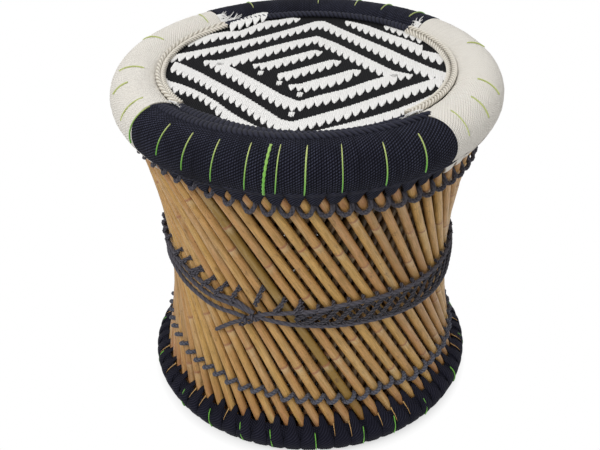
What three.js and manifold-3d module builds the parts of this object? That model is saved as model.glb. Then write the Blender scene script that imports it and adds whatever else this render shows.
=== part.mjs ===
// A mudda stool: two layers of reed canes leaning opposite ways make an hourglass wall,
// lashed with dark cord, between a thick corded rim roll and a corded base roll,
// with a woven cord seat inside the rim. Millimetres, +Z up, the floor at z = 0,
// the stool's axis on Z and its front facing -Y.

import * as THREE from 'three';
import { mergeVertices } from 'three/addons/utils/BufferGeometryUtils.js';
import Module from 'manifold-3d';

const wasm = await Module();
wasm.setup();

// Overall sizes
const HEIGHT = 379.6;
const RIM_R = 200;
const BASE_R = 185.2;
const WAIST_DRAW = 18.4;
const GAP = 0.3;

// Rim roll: a bundle hoop on the cane tops under a wrap of fine cord in four colour sectors
const RIM_ROLL_R = 27.8;
const RIM_WRAP_THICK = 3;
const RIM_WRAP_FACES = 6;
const RIM_CORE_FACES = 3;
const RIM_STEPS_PER_SECTOR = 11;
const RIM_SECTORS = [
  { name: 'rim_wrap_front_black', from: -55, to: 38, color: 0x1d1d28 },
  { name: 'rim_wrap_right_cream', from: 38, to: 129, color: 0xe0dace },
  { name: 'rim_wrap_back_black', from: 129, to: 217, color: 0x1d1d28 },
  { name: 'rim_wrap_left_cream', from: 217, to: 305, color: 0xe0dace },
];

// Base roll: the same build round the cane feet, cut flat where it stands
const BASE_ROLL_W = 42;
const BASE_ROLL_H = 35.6;
const FOOT_CUT = 0.5;
const LIP_PASSES = 12;
const BASE_WRAP_THICK = 2;
const BASE_WRAP_FACES = 4;
const BASE_CORE_FACES = 3;
const BASE_STEPS = 48;
const COLLAR_THICK = 2.4;
const COLLAR_POINT_H = 14;
const COLLAR_NOTCH_H = 2;

// Canes: both layers stand in the two rolls, which the outer one meets outside their middle
const CANE_R = 5;
const KNUCKLE_SWELL = 0.4;
const KNUCKLE_SHARES = { lowest: 0.22, spread: 0.6, step: 0.618 };
const OUTER_CANE_SIDES = 6;
const INNER_CANE_SIDES = 5;
const PANELS = 16;
const CANE_SPACING = 14.8;
const CANE_TOP_OUT = 13.07;
const CANE_FOOT_OUT = 4.75;
const CANE_FOOT_Z = 12;
const BINDING_H = 8;
const BINDING_DROP = 1;
const BINDING_COVER = 0.6;

// Cords on the wall: a lashing near each roll and a band at the waist
const LASHING_R = 2.4;
const LASHING_CLEAR = 0.8;
const TOP_LASHING_DROP = 47.8;
const TOP_LASHING_RISE = 4;
const BOTTOM_LASHING_CLEAR = 30.9;
const BOTTOM_LASHING_RISE = 2.5;
const LASHING_DIP = 1.6;
const LASHING_STEPS_PER_CANE = 3;
const CORD_SIDES = 5;
const CORD_DIVISIONS_PER_STEP = 8;
const LASHING_SIDES = 4;
const BAND_ABOVE_WAIST = 9.3;
const BAND_HALF_H = 15.5;
const BAND_CORD_R = 2.3;
const BRAID_R = 1.8;
const BAND_STEPS = 60;
const BRAID_STEPS_PER_CANE = 4;

// Seat: a woven mat hung inside the rim, with raised white floats and a border rope
const SEAT_DROP = 12.6;
const SEAT_THICK = 7;
const FLOAT_THICK = 1.2;
const TOOTH_H = 5;
const TOOTH_SHARE = 0.3;
const COLUMN_W = 7.4;
const WEAVE_DEGREES = -8.9;
const BORDER_R = 5;
const BORDER_SIDES = 6;

const REED = { color: 0xbe9664, roughness: 0.55, metalness: 0 };
const INNER_REED = { color: 0xa9824f, roughness: 0.6, metalness: 0 };
const GRASS = { color: 0x9a8350, roughness: 0.9, metalness: 0 };
const BLACK_CORD = { color: 0x1d1d28, roughness: 0.6, metalness: 0 };
const GREY_CORD = { color: 0x4b484e, roughness: 0.75, metalness: 0 };
const WHITE_CORD = { color: 0xeae8e4, roughness: 0.7, metalness: 0 };
const CREAM_CORD = { color: 0xe0dace, roughness: 0.75, metalness: 0 };

// The pattern of floats, in shares of the radius of the field inside the border rope
const outerDiamondShares = { across: 0.977, along: 0.935, lift: -0.014, rise: 0.156 };
const innerDiamondShares = { across: 0.736, along: 0.63, lift: -0.021, rise: 0.156 };
const barShares = [
  { name: 'seat_bar_1', from: [-0.368, 0.042], to: [0.028, 0.312], rise: 0.12 },
  { name: 'seat_bar_2', from: [-0.227, -0.127], to: [0.191, 0.149], rise: 0.12 },
  { name: 'seat_bar_3', from: [-0.028, -0.269], to: [0.368, 0], rise: 0.12 },
  { name: 'seat_band_back_left', from: [-0.857, 0.397], to: [-0.319, 0.914], rise: 0.156 },
  { name: 'seat_band_back_right', from: [0.297, 0.892], to: [0.793, 0.51], rise: 0.156 },
  { name: 'seat_band_front_left', from: [-0.836, -0.382], to: [-0.439, -0.708], rise: 0.156 },
  { name: 'seat_band_front_right', from: [0.439, -0.708], to: [0.81, -0.382], rise: 0.156 },
];

const FULL_TURN = 2 * Math.PI;
const radians = THREE.MathUtils.degToRad;
const stool = new THREE.Group();

// A point on the stool: turn 0 is the front and turns grow towards the right
function polar(r, turn, z) {
  return new THREE.Vector3(r * Math.sin(turn), -r * Math.cos(turn), z);
}

function add(name, geometry, finish) {
  const mesh = new THREE.Mesh(geometry, new THREE.MeshStandardMaterial(finish));
  mesh.name = name;
  stool.add(mesh);
  return mesh;
}

// Keeps positions only, shares vertices and turns the faces outwards
function solid(geometry) {
  geometry.deleteAttribute('normal');
  geometry.deleteAttribute('uv');
  const merged = mergeVertices(geometry);
  const { position } = merged.attributes;
  const corner = (i) => new THREE.Vector3().fromBufferAttribute(position, merged.index.getX(i));
  let volume = 0;
  for (let i = 0; i < merged.index.count; i += 3) {
    volume += corner(i).dot(corner(i + 1).cross(corner(i + 2)));
  }
  if (volume < 0) {
    merged.index.array.reverse();
  }
  return merged;
}

function toManifold(geometry) {
  const { attributes, index } = solid(geometry);
  const vertProperties = new Float32Array(attributes.position.array);
  const triVerts = new Uint32Array(index.array);
  return new wasm.Manifold(new wasm.Mesh({ numProp: 3, vertProperties, triVerts }));
}

function fromManifold(manifold) {
  const { vertProperties, triVerts } = manifold.getMesh();
  const geometry = new THREE.BufferGeometry();
  geometry.setAttribute('position', new THREE.BufferAttribute(vertProperties, 3));
  geometry.setIndex(new THREE.BufferAttribute(triVerts, 1));
  return geometry;
}

// Joins rings of points into a closed body; the outline is one ring seen flat, for the end caps
function loft(rings, outline, closed) {
  const across = outline.length;
  const spans = closed ? rings.length : rings.length - 1;
  const faces = [];
  for (let ring = 0; ring < spans; ring += 1) {
    const here = ring * across;
    const next = ((ring + 1) % rings.length) * across;
    for (let i = 0; i < across; i += 1) {
      const j = (i + 1) % across;
      faces.push(here + i, here + j, next + j);
      faces.push(here + i, next + j, next + i);
    }
  }
  if (!closed) {
    const last = (rings.length - 1) * across;
    for (const [a, b, c] of THREE.ShapeUtils.triangulateShape(outline, [])) {
      faces.push(c, b, a);
      faces.push(last + a, last + b, last + c);
    }
  }
  const geometry = new THREE.BufferGeometry();
  geometry.setFromPoints(rings.flat());
  geometry.setIndex(faces);
  return solid(geometry);
}

// Sweeps a section of radius and height points round the axis, through the given turns
function sweep(section, turns, closed = false) {
  const outline = THREE.ShapeUtils.isClockWise(section) ? [...section].reverse() : section;
  const rings = turns.map((turn) => outline.map((point) => polar(point.x, turn, point.y)));
  return loft(rings, outline, closed);
}

function steps(from, to, count) {
  return Array.from({ length: count + 1 }, (_, i) => THREE.MathUtils.lerp(from, to, i / count));
}

function circle(radius, sides) {
  const angles = Array.from({ length: sides }, (_, i) => (i / sides) * FULL_TURN);
  return angles.map((angle) => new THREE.Vector2(radius * Math.cos(angle), radius * Math.sin(angle)));
}

// A cord along any route, given as a function from 0..1 to a point
class Route extends THREE.Curve {
  constructor(pointAt, count) {
    super();
    this.pointAt = pointAt;
    this.arcLengthDivisions = count * CORD_DIVISIONS_PER_STEP;
  }

  getPoint(share) {
    return this.pointAt(share);
  }
}

// The least clear distance between stretches of a cord that lie apart along it
function leastGap(pointAt, radius, count) {
  const points = steps(0, 1, count).map(pointAt);
  const along = [0];
  for (let i = 1; i < points.length; i += 1) {
    along.push(along[i - 1] + points[i].distanceTo(points[i - 1]));
  }
  let least = Infinity;
  for (let i = 0; i < points.length; i += 1) {
    const apart = (_, j) => along[j] - along[i] > 2 * FULL_TURN * radius;
    points.filter(apart).forEach((other) => {
      least = Math.min(least, points[i].distanceTo(other) - 2 * radius);
    });
  }
  return least;
}

function printLeastGap(name, pointAt, radius, count) {
  console.log(`${name}: least gap to itself ${leastGap(pointAt, radius, count).toFixed(2)} mm`);
}

function cord(name, pointAt, radius, sides, count) {
  printLeastGap(name, pointAt, radius, count);
  const shape = new THREE.Shape(circle(radius, sides));
  const extrudePath = new Route(pointAt, count);
  add(name, solid(new THREE.ExtrudeGeometry(shape, { steps: count, extrudePath })), GREY_CORD);
}

// A roll's section is an ellipse about r and z; `up` is 1 where the canes enter it from
// above and -1 where they enter from below.
const rimRoll = {
  r: RIM_R - RIM_ROLL_R,
  z: HEIGHT - RIM_ROLL_R,
  halfW: RIM_ROLL_R,
  halfH: RIM_ROLL_R,
  up: -1,
  cut: 0,
  wrap: RIM_WRAP_THICK,
  wrapFaces: RIM_WRAP_FACES,
  coreFaces: RIM_CORE_FACES,
};
const baseRoll = {
  r: BASE_R - BASE_ROLL_W / 2,
  z: BASE_ROLL_H / 2 - FOOT_CUT,
  halfW: BASE_ROLL_W / 2,
  halfH: BASE_ROLL_H / 2,
  up: 1,
  cut: FOOT_CUT,
  wrap: BASE_WRAP_THICK,
  wrapFaces: BASE_WRAP_FACES,
  coreFaces: BASE_CORE_FACES,
};

// Cane layers: straight lines that lean one way on a waisted surface of radius(z). The
// outer one meets both rolls, and its waist is drawn in from the narrower of them. The
// inner one keeps the width of a knuckle, a cane and a gap inside it at both rolls.
const KNUCKLE_R = CANE_R + KNUCKLE_SWELL;
const LAYER_STEP = KNUCKLE_R + CANE_R + GAP;
const TOP_R = rimRoll.r + CANE_TOP_OUT;
const FOOT_R = baseRoll.r + CANE_FOOT_OUT;
const WAIST = Math.min(TOP_R, FOOT_R) - WAIST_DRAW;
const TOP_REACH = Math.sqrt(TOP_R ** 2 - WAIST ** 2);
const FOOT_REACH = Math.sqrt(FOOT_R ** 2 - WAIST ** 2);
const OUTER_SLOPE = (TOP_REACH + FOOT_REACH) / (rimRoll.z - baseRoll.z);
const WAIST_Z = baseRoll.z + FOOT_REACH / OUTER_SLOPE;
const CANES_PER_PANEL = Math.round((FULL_TURN * WAIST) / CANE_SPACING / PANELS);
const CANES = PANELS * CANES_PER_PANEL;
const PITCH = FULL_TURN / CANES;

function caneLayer(waist, slope, lean, sides) {
  const reach = (z) => slope * (z - WAIST_Z);
  return {
    waist,
    slope,
    sides,
    radius: (z) => Math.hypot(waist, reach(z)),
    turn: (index, z) => index * PITCH + lean * Math.atan(reach(z) / waist),
    point(index, z) {
      return polar(this.radius(z), this.turn(index, z), z);
    },
    flare: (z) => (slope * reach(z)) / Math.hypot(waist, reach(z)),
  };
}

const outerLayer = caneLayer(WAIST, OUTER_SLOPE, -1, OUTER_CANE_SIDES);
const innerWaist = WAIST - LAYER_STEP;
const innerSlopes = [rimRoll.z, baseRoll.z].map((z) => {
  const inner = outerLayer.radius(z) - LAYER_STEP * Math.hypot(1, outerLayer.flare(z));
  return Math.sqrt(inner ** 2 - innerWaist ** 2) / Math.abs(z - WAIST_Z);
});
const innerLayer = caneLayer(innerWaist, Math.min(...innerSlopes), 1, INNER_CANE_SIDES);
const outerWall = (z) => outerLayer.radius(z) + KNUCKLE_R * Math.hypot(1, outerLayer.flare(z)) + GAP;
const innerWall = (z) => innerLayer.radius(z) - KNUCKLE_R * Math.hypot(1, innerLayer.flare(z)) - GAP;

const BINDING_TOP = rimRoll.z - BINDING_DROP;
const BINDING_LOW = BINDING_TOP - BINDING_H;

// A reed swells to a knuckle at a share of its length; a share of 0 leaves it plain
function cane(layer, index, knuckleShare) {
  const tilt = Math.sin(Math.atan(layer.slope));
  const foot = layer.point(index, CANE_FOOT_Z);
  const top = layer.point(index, BINDING_TOP - BINDING_COVER - KNUCKLE_R * tilt);
  const length = foot.distanceTo(top);
  const middle = knuckleShare > 0 ? [[KNUCKLE_R, knuckleShare * length]] : [];
  const profile = [[0, 0], [CANE_R, 0], ...middle, [CANE_R, length], [0, length]];
  const geometry = new THREE.LatheGeometry(profile.map((point) => new THREE.Vector2(...point)), layer.sides);
  const along = top.clone().sub(foot).normalize();
  const turned = new THREE.Quaternion().setFromUnitVectors(new THREE.Vector3(0, 1, 0), along);
  geometry.applyQuaternion(turned);
  geometry.translate(...foot.toArray());
  return geometry;
}

// The strip that binds a panel's cane tops together, hidden in the rim roll
function binding(layer, first) {
  const half = CANE_R * Math.hypot(1, layer.flare(rimRoll.z)) + GAP / 4;
  const section = [
    new THREE.Vector2(layer.radius(BINDING_LOW) - half, BINDING_LOW),
    new THREE.Vector2(layer.radius(BINDING_LOW) + half, BINDING_LOW),
    new THREE.Vector2(layer.radius(BINDING_TOP) + half, BINDING_TOP),
    new THREE.Vector2(layer.radius(BINDING_TOP) - half, BINDING_TOP),
  ];
  const middle = (BINDING_LOW + BINDING_TOP) / 2;
  const slack = GAP / layer.radius(middle);
  const start = layer.turn(first, middle) - PITCH / 2 + slack;
  const end = layer.turn(first + CANES_PER_PANEL - 1, middle) + PITCH / 2 - slack;
  const canes = Array.from({ length: CANES_PER_PANEL }, (_, i) => layer.turn(first + i, middle));
  return sweep(section, [start, ...canes, end]);
}

function canePanel(name, layer, first, knuckled, finish) {
  let panel = toManifold(binding(layer, first));
  for (let index = first; index < first + CANES_PER_PANEL; index += 1) {
    const spread = KNUCKLE_SHARES.spread * ((index * KNUCKLE_SHARES.step) % 1);
    const knuckleShare = knuckled ? KNUCKLE_SHARES.lowest + spread : 0;
    panel = panel.add(toManifold(cane(layer, index, knuckleShare)));
  }
  add(name, fromManifold(panel), finish);
}

for (let first = 0; first < CANES; first += CANES_PER_PANEL) {
  const label = String(first / CANES_PER_PANEL + 1).padStart(2, '0');
  canePanel(`outer_canes_${label}`, outerLayer, first, true, REED);
  canePanel(`inner_canes_${label}`, innerLayer, first, false, INNER_REED);
}

// A bearing on a roll is an angle from the side that the canes enter, growing outwards
function rollPoint(roll, bearing, inset) {
  return new THREE.Vector2(
    roll.r + (roll.halfW - inset) * Math.sin(bearing),
    roll.z + roll.up * (roll.halfH - inset) * Math.cos(bearing),
  );
}

// The bearing at which a roll's inset surface meets the wall of canes
function lipBearing(roll, inset, wall, side) {
  let bearing = 0;
  for (let pass = 0; pass < LIP_PASSES; pass += 1) {
    const reach = side * (wall(rollPoint(roll, bearing, inset).y) - roll.r);
    bearing = side * Math.asin(reach / (roll.halfW - inset));
  }
  return bearing;
}

// A roll's surface from its outer lip round to its inner lip, with a flat where it is cut
function rollArc(roll, inset, facesPerSide) {
  const out = lipBearing(roll, roll.wrap, outerWall, 1);
  const back = FULL_TURN + lipBearing(roll, roll.wrap, innerWall, -1);
  const flat = Math.acos(1 - roll.cut / roll.halfH);
  const bearings = [
    ...steps(out, Math.PI - flat, facesPerSide),
    ...steps(Math.PI + flat, back, facesPerSide),
  ];
  const arc = flat > 0 ? bearings : bearings.filter((_, i) => i !== facesPerSide);
  return arc.map((bearing) => rollPoint(roll, bearing, inset));
}

function wrapSection(roll) {
  return [...rollArc(roll, 0, roll.wrapFaces), ...rollArc(roll, roll.wrap, roll.coreFaces).reverse()];
}

// The core is the bundle inside the wrap, with a channel that takes both layers of canes
function coreSection(roll, channelEnd) {
  const shell = rollArc(roll, roll.wrap + GAP, roll.coreFaces);
  const mouth = [shell[0], shell[shell.length - 1]].map((point) => point.y);
  return [
    ...shell,
    new THREE.Vector2(innerWall(mouth[1]), mouth[1]),
    new THREE.Vector2(innerWall(channelEnd), channelEnd),
    new THREE.Vector2(outerWall(channelEnd), channelEnd),
    new THREE.Vector2(outerWall(mouth[0]), mouth[0]),
  ];
}

function sectorTurns(sector, radius) {
  const slack = GAP / 2 / radius;
  return steps(radians(sector.from) + slack, radians(sector.to) - slack, RIM_STEPS_PER_SECTOR);
}

const rimTurns = RIM_SECTORS.flatMap((sector) => {
  return steps(radians(sector.from), radians(sector.to), RIM_STEPS_PER_SECTOR).slice(0, -1);
});
add('rim_core_hoop', sweep(coreSection(rimRoll, BINDING_TOP + GAP), rimTurns, true), GRASS);
for (const sector of RIM_SECTORS) {
  const finish = { ...CREAM_CORD, color: sector.color };
  add(sector.name, sweep(wrapSection(rimRoll), sectorTurns(sector, rimRoll.r)), finish);
}

const baseTurns = steps(0, FULL_TURN, BASE_STEPS).slice(0, -1);
const channelFloor = CANE_FOOT_Z - KNUCKLE_R * Math.sin(Math.atan(OUTER_SLOPE)) - GAP;
add('base_core_hoop', sweep(coreSection(baseRoll, channelFloor), baseTurns, true), GRASS);
add('base_wrap', sweep(wrapSection(baseRoll), baseTurns, true), BLACK_CORD);

// The base wrap rises between the canes in points, with a notch in front of each cane
function collar() {
  const lip = wrapSection(baseRoll)[0].y + GAP;
  const rings = [];
  for (let i = 0; i < 2 * CANES; i += 1) {
    const notch = i % 2 === 0;
    const top = lip + (notch ? COLLAR_NOTCH_H : COLLAR_POINT_H);
    const lower = outerLayer.turn(i / 2, lip);
    const upper = outerLayer.turn(i / 2, top);
    rings.push([
      polar(outerWall(lip), lower, lip),
      polar(outerWall(lip) + COLLAR_THICK, lower, lip),
      polar(outerWall(top) + COLLAR_THICK, upper, top),
      polar(outerWall(top), upper, top),
    ]);
  }
  const flat = [[0, 0], [1, 0], [1, 1], [0, 1]].map((corner) => new THREE.Vector2(...corner));
  return loft(rings, flat, true);
}
add('base_wrap_points', collar(), BLACK_CORD);

// A lashing runs round the wall, bulging over each cane; its rise is a function of the
// share of the way from one cane to the next
function lashing(height, rise) {
  const perTurn = (turn, z) => (turn - outerLayer.turn(0, z)) / PITCH;
  return (share) => {
    const turn = THREE.MathUtils.lerp(0, FULL_TURN - (2 * LASHING_R) / WAIST, share);
    const z = height + rise(perTurn(turn, height));
    const between = (1 - Math.cos(perTurn(turn, z) * FULL_TURN)) / 2;
    const proud = (CANE_R + LASHING_R) * Math.hypot(1, outerLayer.flare(z)) + LASHING_CLEAR;
    return polar(outerLayer.radius(z) + proud - LASHING_DIP * between, turn, z);
  };
}

const lashingSteps = CANES * LASHING_STEPS_PER_CANE;
const topLashingZ = rimRoll.z - TOP_LASHING_DROP;
const bottomLashingZ = BASE_ROLL_H - FOOT_CUT + BOTTOM_LASHING_CLEAR;
const topRise = (cycle) => -TOP_LASHING_RISE * Math.cos(cycle * FULL_TURN);
const bottomRise = (cycle) => BOTTOM_LASHING_RISE * Math.sin(cycle * FULL_TURN);
cord('top_lashing', lashing(topLashingZ, topRise), LASHING_R, LASHING_SIDES, lashingSteps);
cord('bottom_lashing', lashing(bottomLashingZ, bottomRise), LASHING_R, LASHING_SIDES, lashingSteps);

// Waist band: each route is a list of turns in radians and heights as shares of half the
// band, from its middle. The upper cord starts at its loose end on the left of the front.
const upperCordShares = [
  [-0.683, -2.1], [-0.583, -1.35], [-0.5, -0.87], [-0.43, -0.5], [-0.38, -0.16], [-0.3, 0.12], [-0.19, 0.32],
  [-0.067, 0.61], [0.1, 0.85], [0.267, 0.97], [0.6, 0.9], [1.2, 1], [2.4, 1], [3.6, 1], [4.6, 0.9], [5.03, 0.75],
  [5.166, 0.65], [5.3, 0.52], [5.5, 0.47], [5.633, 0.28], [5.766, 0.18], [5.83, 0.1],
];
const lowerCordShares = [
  [-0.23, -0.22], [-0.067, -0.34], [0.1, -0.5], [0.267, -0.63], [0.433, -0.81], [0.683, -1], [1, -1.15],
  [2.4, -1.15], [3.6, -1.1], [4.6, -0.6], [5.03, 0], [5.166, 0.08], [5.366, -0.03], [5.6, -0.14], [5.733, -0.2],
];
// Where the braid runs between them, counted in canes from the front
const braidCanes = { from: 2.25, to: 47.75 };

function bandCurve(shares) {
  const points = shares.map(([turn, share]) => new THREE.Vector3(turn, share, 0));
  return new THREE.CatmullRomCurve3(points, false, 'centripetal');
}

function onBand(turn, share, radius) {
  const z = WAIST_Z + BAND_ABOVE_WAIST + BAND_HALF_H * share;
  return polar(outerLayer.radius(z) + KNUCKLE_R + GAP + radius, turn, z);
}

function bandCord(shares) {
  const curve = bandCurve(shares);
  return (share) => {
    const { x: turn, y: height } = curve.getPoint(share);
    return onBand(turn, height, BAND_CORD_R);
  };
}

// The braid between the two cords zigzags once for each cane
function braidAt(canes) {
  const turn = canes * PITCH;
  const heightOf = (shares) => {
    const last = shares.findIndex(([place]) => place > turn);
    const [[t0, h0], [t1, h1]] = [shares[last - 1], shares[last]];
    return THREE.MathUtils.mapLinear(turn, t0, t1, h0, h1);
  };
  const top = heightOf(upperCordShares);
  const bottom = heightOf(lowerCordShares);
  const room = (top - bottom) / 2 - (BAND_CORD_R + 2 * BRAID_R + GAP) / BAND_HALF_H;
  const swing = Math.cos(canes * FULL_TURN);
  return onBand(turn, (top + bottom) / 2 + room * swing, BRAID_R);
}

function braid() {
  const { from, to } = braidCanes;
  const count = (to - from) * BRAID_STEPS_PER_CANE;
  const step = 1 / BRAID_STEPS_PER_CANE;
  printLeastGap('waist_braid', (share) => braidAt(THREE.MathUtils.lerp(from, to, share)), BRAID_R, count);
  const outline = circle(BRAID_R, LASHING_SIDES);
  const rings = steps(from, to, count).map((canes) => {
    const ahead = braidAt(canes + step).sub(braidAt(canes - step)).normalize();
    const outwards = polar(1, canes * PITCH, 0);
    const beside = outwards.clone().cross(ahead);
    return outline.map(({ x, y }) => (
      braidAt(canes).addScaledVector(outwards, x).addScaledVector(beside, y)
    ));
  });
  return loft(rings, outline, false);
}

cord('waist_upper_cord', bandCord(upperCordShares), BAND_CORD_R, CORD_SIDES, BAND_STEPS);
cord('waist_lower_cord', bandCord(lowerCordShares), BAND_CORD_R, CORD_SIDES, BAND_STEPS);
add('waist_braid', braid(), GREY_CORD);

// Seat mat: its edge rests on the inside of the rim wrap
function rimInside(z) {
  return rimRoll.r - Math.sqrt(RIM_ROLL_R ** 2 - (z - rimRoll.z) ** 2) - GAP;
}

const SEAT_Z = HEIGHT - SEAT_DROP;

function seatMat() {
  const levels = [SEAT_Z - SEAT_THICK, SEAT_Z];
  const rings = levels.map((z) => rimTurns.map((turn) => polar(rimInside(z), turn, z)));
  const outline = rings[0].map((point) => new THREE.Vector2(point.x, point.y));
  return loft(rings, outline, false);
}
add('seat_mat', seatMat(), BLACK_CORD);

// A border rope lies in the corner between the mat and the rim, one length to a sector
const BORDER_Z = SEAT_Z + GAP + BORDER_R;
const BORDER_C = rimRoll.r - Math.sqrt((RIM_ROLL_R + GAP + BORDER_R) ** 2 - (BORDER_Z - rimRoll.z) ** 2);
for (const sector of RIM_SECTORS) {
  const centre = new THREE.Vector2(BORDER_C, BORDER_Z);
  const section = circle(BORDER_R, BORDER_SIDES).map((point) => point.add(centre));
  const finish = { ...CREAM_CORD, color: sector.color };
  add(sector.name.replace('rim_wrap', 'seat_border'), sweep(section, sectorTurns(sector, BORDER_C)), finish);
}
const FIELD_R = BORDER_C - BORDER_R;

// White floats lie on the mat in the weave's own directions: x across and y along
function toothed(from, to) {
  const count = Math.max(1, Math.round(Math.abs(to.x - from.x) / COLUMN_W));
  const points = [];
  for (let i = 0; i < count; i += 1) {
    const start = from.clone().lerp(to, i / count);
    const end = from.clone().lerp(to, (i + 1) / count);
    const [low, high] = start.y < end.y ? [start, end] : [end, start];
    points.push(start, new THREE.Vector2(THREE.MathUtils.lerp(low.x, high.x, TOOTH_SHARE), low.y - TOOTH_H));
  }
  return points;
}

function float(name, outline, holes = []) {
  const shape = new THREE.Shape([...outline].reverse());
  shape.holes = holes.map((hole) => new THREE.Path(hole));
  const geometry = new THREE.ExtrudeGeometry(shape, { depth: FLOAT_THICK, bevelEnabled: false });
  const mesh = add(name, solid(geometry), WHITE_CORD);
  mesh.rotation.z = radians(WEAVE_DEGREES);
  mesh.position.z = SEAT_Z + GAP;
}

// A diamond of float: smooth upper edges and toothed lower ones, outside and in
function diamond(name, shares) {
  const [across, along, lift, rise] = [shares.across, shares.along, shares.lift, shares.rise].map(
    (share) => share * FIELD_R,
  );
  const inside = along - rise;
  const insideAcross = (across * inside) / along;
  const corners = (x, y) => {
    return [[-x, 0], [0, y], [x, 0], [0, -y]].map((at) => new THREE.Vector2(at[0], at[1] + lift));
  };
  const [left, top, right, bottom] = corners(across, along);
  const [holeLeft, holeTop, holeRight, holeBottom] = corners(insideAcross, inside);
  const plain = (2 * TOOTH_H) / inside;
  const outline = [left, top, ...toothed(right, bottom), ...toothed(bottom, left)];
  const hole = [
    holeLeft,
    ...toothed(holeLeft.clone().lerp(holeTop, plain), holeTop),
    ...toothed(holeTop, holeRight.clone().lerp(holeTop, plain)),
    holeRight,
    holeBottom,
  ];
  float(name, outline, [hole]);
}

diamond('seat_outer_diamond', outerDiamondShares);
diamond('seat_inner_diamond', innerDiamondShares);

// A bar of float has a slanted, smooth upper edge and a toothed lower one
barShares.forEach(({ name, from, to, rise }) => {
  const start = new THREE.Vector2(...from).multiplyScalar(FIELD_R);
  const end = new THREE.Vector2(...to).multiplyScalar(FIELD_R);
  const lower = (point) => new THREE.Vector2(point.x, point.y - rise * FIELD_R);
  float(name, [start, end, ...toothed(lower(end), lower(start)), lower(start)]);
});

export default stool;
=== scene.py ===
"""A mudda stool dressed for its portrait: reed canes, wound cord rolls, lashings, a waist
band and a woven seat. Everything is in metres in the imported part's own frame, with +Z up,
the stool's axis on Z and its front facing -Y."""

import math

import bpy
import numpy as np
from mathutils import Matrix, Vector


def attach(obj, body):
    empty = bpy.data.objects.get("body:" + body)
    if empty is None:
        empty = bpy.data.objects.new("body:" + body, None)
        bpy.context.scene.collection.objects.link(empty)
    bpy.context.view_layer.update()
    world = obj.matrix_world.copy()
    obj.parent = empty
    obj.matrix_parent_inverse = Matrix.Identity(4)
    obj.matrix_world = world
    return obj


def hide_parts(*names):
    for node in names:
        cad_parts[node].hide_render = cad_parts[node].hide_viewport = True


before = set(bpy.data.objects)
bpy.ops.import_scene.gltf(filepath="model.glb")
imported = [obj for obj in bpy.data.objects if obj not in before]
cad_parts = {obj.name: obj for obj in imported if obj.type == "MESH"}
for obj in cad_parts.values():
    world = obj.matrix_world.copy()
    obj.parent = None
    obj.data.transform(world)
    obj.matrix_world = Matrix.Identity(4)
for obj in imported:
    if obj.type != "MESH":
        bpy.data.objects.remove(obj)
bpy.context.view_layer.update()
scene = bpy.context.scene

MM = 0.001
FULL = 2 * math.pi
UP = np.array((0, 0, 1.0))

# Camera: the photograph's viewpoint, looking down at the stool from the front
CAMERA_AT = (-0.0096, -0.854, 0.736)
CAMERA_PITCH = 0.58
CAMERA_ROLL = -0.020
CAMERA_LENS = 54
CAMERA_SENSOR = 36

# The part's own sizes, as its source has them
HEIGHT = 379.6 * MM
RIM_R = 200 * MM
BASE_R = 185.2 * MM
WAIST_DRAW = 18.4 * MM
GAP = 0.3 * MM
RIM_ROLL_R = 27.8 * MM
RIM_WRAP_THICK = 3 * MM
BASE_ROLL_W = 42 * MM
BASE_ROLL_H = 35.6 * MM
FOOT_CUT = 0.5 * MM
BASE_WRAP_THICK = 2 * MM
CANE_R = 5 * MM
KNUCKLE_SWELL = 0.4 * MM
CANES = 64
PANELS = 16
CANES_PER_PANEL = CANES // PANELS
CANE_TOP_OUT = 13.07 * MM
CANE_FOOT_OUT = 4.75 * MM
CANE_FOOT_Z = 12 * MM
CANE_TOP_DROP = 6 * MM
BAND_ABOVE_WAIST = 9.3 * MM
BAND_HALF_H = 15.5 * MM
BAND_CORD_R = 2.3 * MM
SEAT_DROP = 12.6 * MM
SEAT_THICK = 7 * MM
BORDER_R = 5 * MM
RIM_SECTORS = {
    "front_black": (-55, 38),
    "right_cream": (38, 129),
    "back_black": (129, 217),
    "left_cream": (217, 305),
}

# Wound cord: how wide a turn is, how deep the groove beside it and how uneven the winding.
# The shares are places across a turn, and how far down its groove the surface is there
TURN_W = 2 * MM
GROOVE = 0.55 * MM
TURN_JITTER = 0.14 * MM
LUMP = 0.5 * MM
WANDER = 0.006
WAVE_SIZES = (0.5, 1)
TURN_SHARES = ((0, 1), (0.2, 0.22), (0.5, 0), (0.8, 0.22))
LIP_PASSES = 12

# Weave of the seat
COLUMN_W = 7.45 * MM
STRANDS = 4
STRAND_W = COLUMN_W / STRANDS
WEAVE_TURN = math.radians(-8.9)


def polar(r, turn, z):
    """A point on the stool: turn 0 is the front and turns grow towards the right."""
    r, turn, z = np.broadcast_arrays(r, turn, z)
    return np.stack([r * np.sin(turn), -r * np.cos(turn), z], -1)


def unit(vectors):
    return vectors / np.linalg.norm(vectors, axis=-1, keepdims=True)


def wrapped(turn):
    """The same turn, between half a circle to the left and half a circle to the right."""
    return (turn + math.pi) % FULL - math.pi


def ramp(value, start, width):
    """Rises from 0 at the start to 1 a width beyond it."""
    return np.clip((value - start) / width, 0, 1)


def bell(value, middle, spread):
    return np.exp(-(((value - middle) / spread) ** 2))


def read_table(rows, value):
    """The second number of a table's rows, read between them at a value of the first."""
    return np.interp(value, *np.transpose(rows))


def waves(seed, count, low, high):
    """A smooth wandering function of one number, about -1 to 1, repeating each full turn."""
    rng = np.random.default_rng(seed)
    rates = rng.integers(low, high + 1, count)
    phases = rng.uniform(0, FULL, count)
    sizes = rng.uniform(*WAVE_SIZES, count)

    def wander(turn):
        turn = np.asarray(turn, float)[..., None]
        return (sizes * np.sin(rates * turn + phases)).sum(-1) / sizes.sum()

    return wander


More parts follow.
